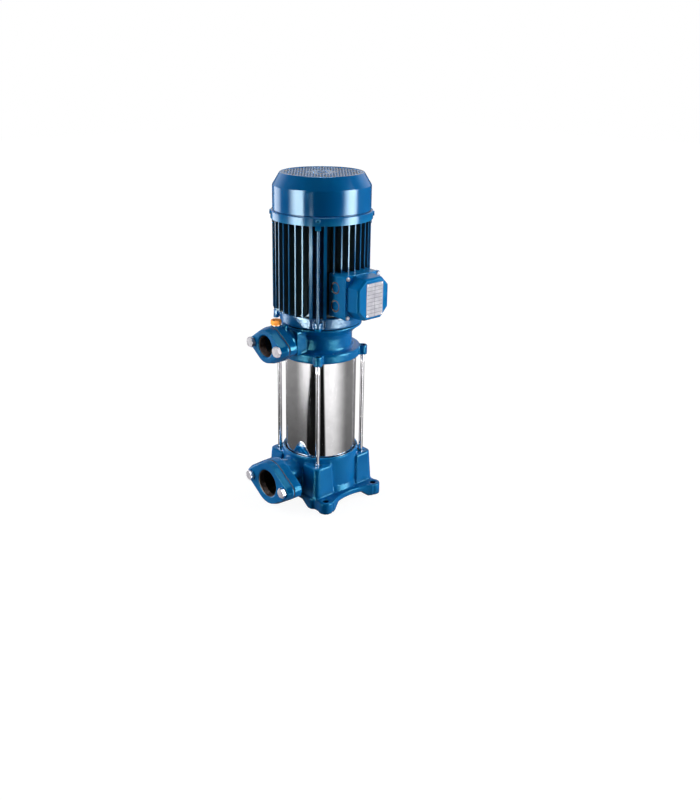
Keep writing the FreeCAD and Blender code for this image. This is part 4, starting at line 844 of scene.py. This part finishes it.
@dataclass
class TieRods:
    """Four bright rods with rolled thread that shows just under the ears of the head."""

    rod_r: float = 4.0
    thread_low_z: float = 263.0
    thread_high_z: float = 275.0
    pitch: float = 1.25
    steps: int = 32

    def profile(self, low_z: float, high_z: float) -> list[Point]:
        """Half section of a rod from its foot to its threaded top end."""
        points: list[Point] = [(0.0, low_z), (self.rod_r - 0.6, low_z), (self.rod_r, low_z + 0.6)]
        turns = int((self.thread_high_z - self.thread_low_z) / self.pitch)
        points.append((self.rod_r, self.thread_low_z - 1.0))
        for turn in range(turns):
            low = self.thread_low_z + turn * self.pitch
            points.append((self.rod_r - 0.55, low + self.pitch * 0.1))
            points.append((self.rod_r, low + self.pitch * 0.45))
            points.append((self.rod_r, low + self.pitch * 0.65))
        points.append((self.rod_r, self.thread_high_z + 1.0))
        points.append((self.rod_r, high_z - 0.8))
        points.append((self.rod_r - 0.8, high_z))
        points.append((0.0, high_z))
        return points

    def build(self) -> Object:
        """Spins one rod and copies it to the four corners.

        Returns:
            The four rods as one piece, in place of their node.
        """
        low, high = (corner / MM for corner in node_box("tie_rods"))
        place = high.x - self.rod_r
        first = spun("tie_rod", self.profile(low.z, high.z), self.steps)
        smooth(first, 30.0)
        rods = []
        for sx in (-1, 1):
            for sy in (-1, 1):
                rods.append(copy_of(first, "tie_rod_copy", Matrix.Translation(Vector((sx, sy, 0)) * place * MM)))
        bpy.data.objects.remove(first)
        return fit(joined(rods, "tie_rods_turned"), ROD_STEEL, Body.FIXED, slot_of("tie_rods"), ["tie_rods"])


@dataclass
class Screws:
    """Visible screws of one node: a turned head, cut by a cross or a socket, on a short shank."""

    node: str
    finish: Finish
    head_r: float
    head: float
    places: Sequence[Matrix]
    cross: bool = True
    crown: float = 0.9
    shank_r: float = 2.0
    shank: float = 3.0

    def cutter(self) -> Object:
        """Cross of two bars, or a six sided socket, that stands in the top of the head."""
        activate_none()
        top = Vector((0, 0, self.head * MM))
        if not self.cross:
            bpy.ops.mesh.primitive_cylinder_add(vertices=6, radius=self.head_r * 0.42 * MM,
                                                depth=self.head * MM, location=top)
            return new_piece("screw_socket")
        bars = []
        for turn in (45, 135):
            bpy.ops.mesh.primitive_cube_add(size=1.0, location=top, rotation=(0, 0, math.radians(turn)))
            bar = bpy.context.view_layer.objects.active
            bar.scale = (self.head_r * 1.15 * MM, self.head_r * 0.26 * MM, self.head * 0.9 * MM)
            bars.append(new_piece("screw_bar"))
        modify(bars[0], "BOOLEAN", operation="UNION", object=bars[1], solver="EXACT")
        bpy.data.objects.remove(bars[1])
        return bars[0]

    def build(self) -> Object:
        """Turns one screw, cuts its drive and copies it to its places.

        Returns:
            All screws of the node as one piece.
        """
        profile = rounded([
            (0.0, self.head),
            (self.head_r, self.head - 0.25, self.crown),
            (self.head_r, 0.0),
            (self.shank_r, 0.0),
            (self.shank_r, -self.shank),
            (0.0, -self.shank),
        ], 4)
        first = spun(self.node + "_one", profile, 24)
        cutter = self.cutter()
        modify(first, "BOOLEAN", operation="DIFFERENCE", object=cutter, solver="EXACT")
        bpy.data.objects.remove(cutter)
        smooth(first, 35.0)
        copies = [copy_of(first, self.node + "_copy", place) for place in self.places]
        bpy.data.objects.remove(first)
        piece = joined(copies, self.node + "_driven")
        return fit(piece, self.finish, Body.FIXED, slot_of(self.node), [self.node])


@dataclass
class KnockoutPlugs:
    """Blind plugs that close the two cable entries of the terminal box, set back in a black ring that is a painted
    shadow of the recess.
    """

    face_x: float = -40.0
    entry_y: float = -82.0
    entry_z: tuple[float, float] = (422.6, 390.2)
    entry_r: float = 11.0
    recess: float = 1.9

    def build(self) -> None:
        """Makes a black ring, a painted shadow in the recess, and a slightly domed plug for each entry."""
        ring = rounded([
            (self.entry_r - 0.02, -self.recess - 0.2),
            (self.entry_r - 0.02, -0.25),
            (self.entry_r - 0.35, -0.25),
            (self.entry_r - 0.6, -0.7),
            (self.entry_r - 3.2, -0.7),
            (self.entry_r - 3.2, -self.recess - 0.2),
        ])
        plug = rounded([
            (0.0, -0.2),
            (self.entry_r - 3.2, -0.35, 0.4),
            (self.entry_r - 2.9, -self.recess - 0.2),
            (0.0, -self.recess - 0.2),
        ], 4)
        shadow_rings, plugs = [], []
        for z in self.entry_z:
            place = along_x(self.face_x, self.entry_y, z)
            shadow_rings.append(spun("entry_shadow_ring", ring, 48, closed=True))
            shadow_rings[-1].data.transform(place)
            plugs.append(spun("entry_plug", plug, 48))
            # plug set off-centre so that the black ring, a painted shadow, shows wider on one side
            plugs[-1].data.transform(Matrix.Translation(Vector((0, -0.7, 0.3)) * MM) @ place)
        # painted shadow: the rings are black to stand for the shade inside the recesses
        fit(smooth(joined(shadow_rings, "knockout_shadow_rings"), 30.0), BLACK_PLASTIC, Body.FIXED, slot_of("terminal_box_gasket"))
        fit(smooth(joined(plugs, "knockout_plugs"), 30.0), ALLOY_ENAMEL, Body.FIXED, slot_of("terminal_box"))


@dataclass
class FanCover:
    """Pressed fan cover: a spun shell with a recessed top and a field of air holes."""

    lip_r: float = 91.4
    lip_low_z: float = 530.0
    lip_top_z: float = 544.5
    drum_r: float = 88.0
    shoulder_z: float = 588.4
    rim_r: float = 74.7
    top_z: float = 610.7
    wall: float = 1.5
    recess_r: float = 70.0
    recess: float = 0.9
    hub_r: float = 12.5
    plain_r: float = 16.5
    star_r: float = 25.5
    field_r: float = 68.0
    hole_r: float = 1.95
    pitch: float = 5.8
    steps: int = 128
    turn_deg: float = 49.0

    def profile(self) -> list[Point]:
        """Closed run of the shell's section from the axis inside to the axis outside."""
        floor_z = self.top_z - self.recess
        inner_r = self.drum_r - self.wall - 0.6
        corners = [
            (0.0, floor_z - self.wall),
            (self.recess_r - 1.0, floor_z - self.wall),
            (self.rim_r - 1.6, self.top_z - self.wall - 0.2, 1.5),
            (inner_r, self.shoulder_z - 0.8, 4.0),
            (inner_r, self.lip_top_z - 2.0),
            (self.lip_r - self.wall, self.lip_top_z - 2.4),
            (self.lip_r - self.wall, self.lip_low_z),
            (self.lip_r - 0.3, self.lip_low_z),
            (self.lip_r, self.lip_low_z + 0.3),
            (self.lip_r, self.lip_top_z, 2.0),
            (self.drum_r - 1.0, self.lip_top_z + 0.3, 0.4),
            (self.drum_r - 0.9, self.lip_top_z + 1.3, 0.3),
            (self.drum_r, self.lip_top_z + 2.0, 0.5),
            (self.drum_r, self.shoulder_z, 4.0),
            (self.rim_r, self.top_z, 2.6),
            (self.recess_r + 0.9, self.top_z, 0.8),
            (self.recess_r, floor_z, 0.8),
            (self.hub_r, floor_z, 0.8),
            (self.hub_r - 1.6, floor_z + 0.6, 0.8),
            (8.4, floor_z + 0.6, 0.8),
            (6.6, floor_z - 0.5, 0.8),
            (4.6, floor_z + 0.3, 0.8),
            (0.0, floor_z + 0.3),
        ]
        return rounded(corners, 4)

    def plain_reach(self, angle: float) -> float:
        """Reach of the plain six pointed star in the middle, at an angle from one of its hollows."""
        toward_point = abs(math.sin(3 * angle))
        return self.plain_r + (self.star_r - self.plain_r) * toward_point ** 2

    def hole_places(self) -> list[Point]:
        """Centres of the air holes in a triangular pattern between the star and the rim."""
        places: list[Point] = []
        row_height = self.pitch * math.sqrt(3) / 2
        rows = int(self.field_r / row_height) + 1
        columns = int(self.field_r / self.pitch) + 2
        turn = math.radians(self.turn_deg)
        for row in range(-rows, rows + 1):
            for column in range(-columns, columns + 1):
                x = (column + 0.5 * (row % 2)) * self.pitch
                y = row * row_height
                plain = self.plain_reach(math.atan2(y, x))
                if plain + self.hole_r < math.hypot(x, y) < self.field_r - self.hole_r:
                    places.append((x * math.cos(turn) - y * math.sin(turn), x * math.sin(turn) + y * math.cos(turn)))
        return places

    def cutter(self) -> Object:
        """One prism for each air hole, joined into a single cutter."""
        activate_none()
        bpy.ops.mesh.primitive_cylinder_add(vertices=10, radius=self.hole_r * MM, depth=6 * MM)
        first = new_piece("air_hole")
        height = self.top_z - self.recess - self.wall / 2
        holes = []
        for x, y in self.hole_places():
            place = Matrix.Translation(Vector((x, y, height)) * MM)
            holes.append(copy_of(first, "air_hole_copy", place))
        bpy.data.objects.remove(first)
        LOG.info("fan cover: %d air holes", len(holes))
        return joined(holes, "air_holes")

    def build(self) -> Object:
        """Spins the shell, cuts the air holes and dresses it.

        Returns:
            The finished cover.
        """
        shell = spun("fan_cover_shell", self.profile(), self.steps)
        cutter = self.cutter()
        modify(shell, "BOOLEAN", operation="DIFFERENCE", object=cutter, solver="EXACT")
        bpy.data.objects.remove(cutter)
        smooth(shell, 30.0)
        return fit(shell, SHEET_ENAMEL, Body.FIXED, slot_of("fan_cover"), ["fan_cover"])


@dataclass
class PortThread:
    """Rings of a pipe thread on the wall of a port, in bare iron."""

    name: str
    centre_z: float
    bore_r: float
    face_x: float
    length: float
    slot: str
    pitch: float = 2.309
    depth: float = 1.0

    def build(self) -> Object:
        """Spins a saw-tooth profile and lays it along the port.

        Returns:
            The thread as one ring.
        """
        turns = int(self.length / self.pitch)
        outer = self.bore_r + 0.4
        profile: list[Point] = [(outer, 0.0)]
        for turn in range(turns):
            low = turn * self.pitch
            profile.append((self.bore_r - 0.05, low + self.pitch * 0.06))
            profile.append((self.bore_r - self.depth, low + self.pitch * 0.44))
            profile.append((self.bore_r - self.depth, low + self.pitch * 0.56))
            profile.append((self.bore_r - 0.05, low + self.pitch * 0.94))
        profile.append((outer, turns * self.pitch))
        ring = spun(self.name, profile, 72, closed=True)
        ring.data.transform(along_x(self.face_x + self.length, 0, self.centre_z))
        smooth(ring, 25.0)
        return fit(ring, THREAD_IRON, Body.FIXED, self.slot)


@dataclass
class RatingPlate:
    """Blank rating plate with rounded corners and four rivets on the face of the lid."""

    low_x: float = -17.0
    high_x: float = 21.5
    low_z: float = 376.5
    high_z: float = 436.0
    face_y: float = -136.7
    thickness: float = 0.5
    corner_r: float = 1.6
    rivet_r: float = 1.25
    rivet_inset: float = 2.6

    def plate(self) -> Object:
        """Sheet cut to size, its corners rounded and its edge broken."""
        activate_none()
        centre = Vector(((self.low_x + self.high_x) / 2, self.face_y + 0.1, (self.low_z + self.high_z) / 2)) * MM
        bpy.ops.mesh.primitive_plane_add(size=1.0, location=centre, rotation=(math.radians(90), 0, 0))
        piece = bpy.context.view_layer.objects.active
        piece.scale = ((self.high_x - self.low_x) * MM, (self.high_z - self.low_z) * MM, 1.0)
        piece = new_piece("rating_plate")
        edit(piece, "VERT")
        bpy.ops.mesh.select_all(action="SELECT")
        bpy.ops.mesh.bevel(offset=self.corner_r * MM, segments=4, affect="VERTICES")
        leave_edit()
        modify(piece, "SOLIDIFY", thickness=self.thickness * MM, offset=1.0)
        clean(piece)
        modify(piece, "BEVEL", width=0.12 * MM, segments=2, limit_method="ANGLE", angle_limit=math.radians(40))
        return smooth(piece, 30.0)

    def rivets(self) -> Object:
        """Four low domes near the corners of the plate."""
        dome = rounded([(0.0, 0.7), (self.rivet_r, 0.7, 0.55), (self.rivet_r, 0.0), (0.0, 0.0)], 4)
        first = spun("rivet", dome, 16)
        smooth(first, 40.0)
        heads = []
        for x in (self.low_x + self.rivet_inset, self.high_x - self.rivet_inset):
            for z in (self.low_z + self.rivet_inset, self.high_z - self.rivet_inset):
                heads.append(copy_of(first, "rivet_copy", along_y(x, self.face_y - self.thickness + 0.1, z)))
        bpy.data.objects.remove(first)
        return joined(heads, "rating_plate_rivets")

    def build(self) -> None:
        """Makes and dresses the plate and its rivets."""
        fit(self.plate(), PLATE_PRINT, Body.FIXED, slot_of("lid_screws"))
        fit(self.rivets(), PLATED, Body.FIXED, slot_of("lid_screws"))


@dataclass
class Hydraulics:
    """Base, sleeve, head, ports and tie rods."""

    castings: list[Casting] = field(default_factory=lambda: [
        Casting("pump_base", BASE_ENAMEL, 1.3, 5),
        Casting("pump_head", HEAD_ENAMEL, 1.15, 5),
        Casting("suction_counter_flange", FLANGE_ENAMEL, 0.9, 4),
        Casting("delivery_counter_flange", FLANGE_ENAMEL, 0.8, 4),
    ])
    machined: list[SoftEdged] = field(default_factory=lambda: [
        SoftEdged("suction_flange_bolts", PLATED, 0.5),
        SoftEdged("delivery_flange_bolts", SCREW_ZINC, 0.5),
        SoftEdged("suction_gasket", GASKET, 0.2, 1),
        SoftEdged("delivery_gasket", GASKET, 0.2, 1),
        SoftEdged("tie_rod_nuts", PLATED, 0.3),
        SoftEdged("bleed_washer", PLATED, 0.15, 1),
        SoftEdged("bleed_plug", BRASS, 0.5, body=Body.BLEED),
    ])
    threads: list[PortThread] = field(default_factory=lambda: [
        PortThread("suction_thread", 47.5, 25.4, -130.3, 12.4, "blue_casting"),
        PortThread("delivery_thread", 314.8, 19.5, -131.0, 16.1, "blue_casting"),
    ])

    def build(self) -> None:
        """Builds every piece in order."""
        for part in [*self.castings, *self.machined, *self.threads, Sleeve(), TieRods()]:
            part.build()


@dataclass
class Motor:
    """End shields, finned frame, tie bolts, fan cover and terminal box."""

    castings: list[Casting] = field(default_factory=lambda: [
        Casting("lower_end_shield", CAST_ENAMEL, 1.0, 4),
    ])
    machined: list[SoftEdged] = field(default_factory=lambda: [
        SoftEdged("motor_frame", FRAME_ENAMEL, 0.45),
        SoftEdged("upper_end_shield", ALLOY_ENAMEL, 0.3, 1),
        SoftEdged("motor_tie_bolts", BOLT_ENAMEL, 0.3),
        SoftEdged("terminal_box", ALLOY_ENAMEL, 0.9),
        SoftEdged("terminal_box_lid", ALLOY_ENAMEL, 1.2, 3),
        SoftEdged("terminal_box_gasket", GASKET, 0.15, 1),
        SoftEdged("cooling_fan", BLACK_PLASTIC, 0.3, 1, body=Body.ROTOR),
    ])
    cover_screw_r: float = 91.4
    cover_screw_z: float = 538.5
    lid_screw_x: float = 35.6
    lid_screw_z: float = 34.4
    lid_centre_z: float = 407.9
    lid_plate_y: float = -109.4

    def cover_screw_places(self) -> list[Matrix]:
        """Places of the four cover screws, which point outwards on the diagonals."""
        places = []
        for quarter in range(4):
            turn = Matrix.Rotation(math.radians(45 + 90 * quarter), 4, "Z")
            lay = Matrix.Translation(Vector((self.cover_screw_r, 0, self.cover_screw_z)) * MM)
            places.append(turn @ lay @ Matrix.Rotation(math.radians(90), 4, "Y"))
        return places

    def lid_screw_places(self) -> list[Matrix]:
        """Places of the four lid screws in the corners of the lid plate."""
        return [along_y(sx * self.lid_screw_x, self.lid_plate_y, self.lid_centre_z + sz * self.lid_screw_z)
                for sx in (-1, 1) for sz in (-1, 1)]

    def build(self) -> None:
        """Builds every piece in order."""
        screws = [
            Screws("fan_cover_screws", SHEET_ENAMEL, 4.4, 2.4, self.cover_screw_places(), cross=False),
            Screws("lid_screws", SCREW_ZINC, 3.6, 2.4, self.lid_screw_places()),
        ]
        for part in [*self.castings, *self.machined, *screws, FanCover(), KnockoutPlugs(), RatingPlate()]:
            part.build()


@dataclass
class InnerParts:
    """Pieces that no view reaches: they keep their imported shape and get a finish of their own."""

    finishes: dict[str, Finish] = field(default_factory=lambda: {
        "lower_sleeve_gasket": GASKET,
        "upper_sleeve_gasket": GASKET,
        "inlet_plate": SLEEVE_STEEL,
        "stage_casings": POLYMER,
        "impellers": POLYMER,
        "lower_shaft_sleeve": SLEEVE_STEEL,
        "shaft_end_nut": PLATED,
        "rotor_shaft": GROUND_STEEL,
        "rotor_core": LAMINATION,
        "stator_core": LAMINATION,
        "stator_windings": COPPER,
        "seal_seat": SEAL_CERAMIC,
        "seal_rotating_head": SEAL_CERAMIC,
        "shield_screws": PLATED,
        "lower_bearing_outer_ring": GROUND_STEEL,
        "lower_bearing_inner_ring": GROUND_STEEL,
        "upper_bearing_outer_ring": GROUND_STEEL,
        "upper_bearing_inner_ring": GROUND_STEEL,
        "bearing_ball_cages": GROUND_STEEL,
        "wave_washer": GROUND_STEEL,
        "fan_retaining_ring": GROUND_STEEL,
        "terminal_block": BLACK_PLASTIC,
        "terminal_studs": BRASS,
    })

    def build(self) -> None:
        """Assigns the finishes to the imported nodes."""
        for node, finish in self.finishes.items():
            item = frame["nodes"].get(node)
            if item is None:
                LOG.warning("no node %s", node)
                continue
            if not item.material_slots:
                item.data.materials.append(finish.material())
            for slot in item.material_slots:
                slot.material = finish.material()


@dataclass(frozen=True)
class Strip:
    """A tall soft light that gloss shows: edges in degrees from the camera's side at two heights."""

    strength: float
    upper_low: float
    upper_high: float
    lower_low: float
    lower_high: float
    soft_low: float = 5.0
    soft_high: float = 5.0
    top: float = 40.0


@dataclass
class Studio:
    """White room with tall soft lights, a pale floor, and the camera of the reference view."""

    azimuth_deg: float = -41.105
    pitch_deg: float = 17.755
    roll_deg: float = 0.365
    distance: float = 1.5823
    height: float = 0.8152
    focal_px: float = 895.5
    centre_x_px: float = 320.98
    centre_y_px: float = 335.44
    image_x_px: int = 700
    image_y_px: int = 800
    sensor_mm: float = 36.0
    floor_glow: float = 0.84

    def toward_camera(self) -> Vector:
        """Level direction from the pump to the camera."""
        turn = math.radians(self.azimuth_deg)
        return Vector((math.sin(turn), -math.cos(turn), 0.0))

    def to_the_right(self) -> Vector:
        """Level direction to the right of the camera."""
        turn = math.radians(self.azimuth_deg)
        return Vector((math.cos(turn), math.sin(turn), 0.0))

    def camera(self) -> None:
        """Makes the camera and sets it for the scene."""
        back = self.toward_camera()
        right = self.to_the_right()
        pitch = math.radians(self.pitch_deg)
        roll = math.radians(self.roll_deg)
        ahead = -back * math.cos(pitch) - Vector((0, 0, math.sin(pitch)))
        up = right.cross(ahead)
        side = right * math.cos(roll) + up * math.sin(roll)
        top = -right * math.sin(roll) + up * math.cos(roll)
        data = bpy.data.cameras.new("camera")
        data.sensor_width = self.sensor_mm
        data.lens = self.focal_px / self.image_y_px * self.sensor_mm
        data.shift_x = (self.image_x_px / 2 - self.centre_x_px) / self.image_y_px
        data.shift_y = (self.centre_y_px - self.image_y_px / 2) / self.image_y_px
        data.clip_start = 0.05
        camera = bpy.data.objects.new("camera", data)
        bpy.context.scene.collection.objects.link(camera)
        turn = Matrix((side, top, -ahead)).transposed().to_4x4()
        camera.matrix_world = Matrix.Translation(back * self.distance + Vector((0, 0, self.height))) @ turn
        bpy.context.scene.camera = camera

    def floor(self) -> None:
        """Makes the pale floor, which gloss doesn't show."""
        activate_none()
        bpy.ops.mesh.primitive_plane_add(size=14.0, location=(0, 0, 0))
        floor = new_piece("floor")
        material = bpy.data.materials.new("pale_floor")
        material.use_nodes = True
        graph = Graph(material.node_tree)
        matt = graph.node("ShaderNodeBsdfDiffuse")
        cloud = graph.noise(graph.place(), 400.0, 2.0)
        tone = graph.blend(cloud, colour(0.93, 0.93, 0.93), colour(0.95, 0.95, 0.95))
        graph.put(matt.inputs["Color"], tone)
        glow = graph.node("ShaderNodeEmission")
        glow.inputs["Color"].default_value = colour(1.1, 1.1, 1.1)
        mix = graph.node("ShaderNodeMixShader")
        mix.inputs["Fac"].default_value = self.floor_glow
        graph.put(mix.inputs[1], matt.outputs[0])
        graph.put(mix.inputs[2], glow.outputs[0])
        out = graph.node("ShaderNodeOutputMaterial")
        graph.put(out.inputs["Surface"], mix.outputs[0])
        floor.data.materials.append(material)
        floor.visible_glossy = False
        floor.visible_diffuse = False

    def sky(self) -> None:
        """Makes the room light: white to the camera, soft from the sides, and tall lights for gloss."""
        world = bpy.data.worlds.new("studio")
        bpy.context.scene.world = world
        world.use_nodes = True
        world.cycles.sampling_method = "NONE"
        graph = Graph(world.node_tree)
        ray = graph.node("ShaderNodeTexCoord").outputs["Generated"]
        azimuth, height = self.angles(graph, ray)
        light = graph.node("ShaderNodeLightPath")
        soft = self.soft_light(graph, azimuth, height)
        gloss = self.gloss_light(graph, azimuth, height)
        value = graph.blend(light.outputs["Is Glossy Ray"], soft, gloss)
        value = graph.blend(light.outputs["Is Camera Ray"], value, colour(1.0, 1.0, 1.0))
        shader = graph.node("ShaderNodeBackground")
        graph.put(shader.inputs["Color"], value)
        out = graph.node("ShaderNodeOutputWorld")
        graph.put(out.inputs["Surface"], shader.outputs[0])

    def angles(self, graph: Graph, ray: NodeSocket) -> tuple[NodeSocket, NodeSocket]:
        """Angle of a ray to the right of the camera's side, and above the horizon, in degrees."""
        parts = []
        for axis in (self.to_the_right(), self.toward_camera()):
            node = graph.node("ShaderNodeVectorMath", operation="DOT_PRODUCT")
            graph.put(node.inputs[0], ray)
            node.inputs[1].default_value = axis
            parts.append(node.outputs["Value"])
        azimuth = graph.math("DEGREES", graph.math("ARCTAN2", parts[0], parts[1]))
        _, _, z = graph.split(ray)
        return azimuth, graph.math("DEGREES", graph.math("ARCSINE", z))

    def soft_light(self, graph: Graph, azimuth: NodeSocket, height: NodeSocket) -> NodeSocket:
        """Light that falls on the surfaces: strong from both sides, some from above, little from the front."""
        aside = graph.math("ABSOLUTE", graph.math("ADD", azimuth, 8.0))
        sides = graph.math("MULTIPLY", graph.ramp(aside, 50.0, 84.0), graph.ramp(aside, 150.0, 105.0, 0.25, 1.0))
        tall = graph.math("MULTIPLY", graph.ramp(height, 50.0, 22.0), graph.ramp(height, -45.0, -10.0, 0.12, 1.0))
        sides = graph.math("MULTIPLY", sides, tall)
        above = graph.ramp(height, 35.0, 75.0, 0.0, 0.35)
        total = graph.math("ADD", graph.math("MULTIPLY", sides, 4.0), above)
        return graph.math("ADD", total, 0.035)

    def band(self, graph: Graph, value: Value, low: Value, high: Value, soft: Point) -> NodeSocket:
        """One between two moving edges, with a soft flank of its own width at each."""
        rise = graph.ramp(graph.math("SUBTRACT", value, low), -soft[0], soft[0])
        fall = graph.ramp(graph.math("SUBTRACT", value, high), -soft[1], soft[1], 1.0, 0.0)
        return graph.math("MULTIPLY", rise, fall)

    def gloss_light(self, graph: Graph, azimuth: NodeSocket, height: NodeSocket) -> NodeSocket:
        """What gloss shows: bright strips for the paint, and dark and white cards lower for the steel."""
        strips = [
            Strip(21.0, -72.0, -43.0, -62.0, -27.0, 13.0, 2.5),
            Strip(22.0, 58.0, 86.0, 28.0, 52.0, 11.0, 7.0),
            Strip(4.0, -142.0, -112.0, -128.0, -102.0, 5.0, 7.0, 12.0),
        ]
        paint: Value = 0.0
        for strip in strips:
            low = graph.line(height, -17.0, -10.8, strip.lower_low, strip.upper_low)
            high = graph.line(height, -17.0, -10.8, strip.lower_high, strip.upper_high)
            glow = self.band(graph, azimuth, low, high, (strip.soft_low, strip.soft_high))
            glow = graph.math("MULTIPLY", glow, graph.ramp(height, strip.top, strip.top - 14.0))
            paint = graph.math("ADD", paint, graph.math("MULTIPLY", glow, strip.strength))
        paint = graph.math("MULTIPLY", paint, graph.ramp(height, -18.4, -17.4))
        rib = graph.math("MULTIPLY", self.band(graph, azimuth, -28.5, -20.5, (1.5, 1.5)),
                         self.band(graph, height, -13.4, -11.2, (0.3, 0.3)))
        paint = graph.math("ADD", paint, graph.math("MULTIPLY", rib, 16.0))
        room = self.room(graph, azimuth, height)
        steel = self.steel_cards(graph, azimuth, height)
        lower = graph.ramp(height, -18.0, -19.0)
        still = graph.math("ADD", graph.math("MULTIPLY", steel, lower),
                           graph.math("MULTIPLY", room, graph.math("SUBTRACT", 1.0, lower)))
        return graph.math("ADD", still, paint)

    def room(self, graph: Graph, azimuth: NodeSocket, height: NodeSocket) -> NodeSocket:
        """Dark room in front, pale backdrop behind, and a soft box right above the pump."""
        aside = graph.math("ABSOLUTE", azimuth)
        behind = graph.math("MULTIPLY", graph.ramp(aside, 105.0, 130.0), graph.ramp(height, 50.0, 25.0))
        behind = graph.math("MULTIPLY", behind, graph.ramp(height, 2.0, 9.0, 0.03, 0.85))
        above = graph.ramp(height, 62.0, 74.0, 0.0, 6.0)
        return graph.math("ADD", graph.math("MAXIMUM", behind, above), 0.015)

    def steel_cards(self, graph: Graph, azimuth: NodeSocket, height: NodeSocket) -> NodeSocket:
        """Black card in front, white card that dims to the right, and a wall that dims downwards to the left."""
        dark_low = graph.ramp(height, -19.4, -23.2, -34.0, -46.0)
        dark_high = graph.line(height, -25.5, -19.5, 18.0, 10.0)
        right = graph.math("MULTIPLY", graph.ramp(azimuth, 36.0, 98.0, 1.28, 0.25),
                           graph.line(height, -25.0, -21.0, 0.62, 1.0))
        right_edge = graph.ramp(graph.math("SUBTRACT", azimuth, dark_high), -3.0, 3.0)
        near = graph.ramp(height, -23.8, -19.8, 0.16, 1.15)
        far = graph.line(height, -25.0, -19.8, 0.09, 0.31)
        left = graph.ramp(azimuth, -46.0, -90.0, near, far)
        left_edge = graph.ramp(graph.math("SUBTRACT", azimuth, dark_low), 2.0, -2.0)
        total = graph.math("ADD", graph.math("MULTIPLY", right, right_edge), graph.math("MULTIPLY", left, left_edge))
        return graph.math("ADD", total, 0.006)

    def build(self) -> None:
        """Makes the floor, the light and the camera."""
        self.floor()
        self.sky()
        self.camera()
        bpy.context.scene.view_settings.view_transform = "Standard"


def main() -> None:
    """Builds the finished pump in order."""
    activate_none()
    Hydraulics().build()
    Motor().build()
    InnerParts().build()
    Studio().build()
    activate_none()


if __name__ == "__main__":
    main()
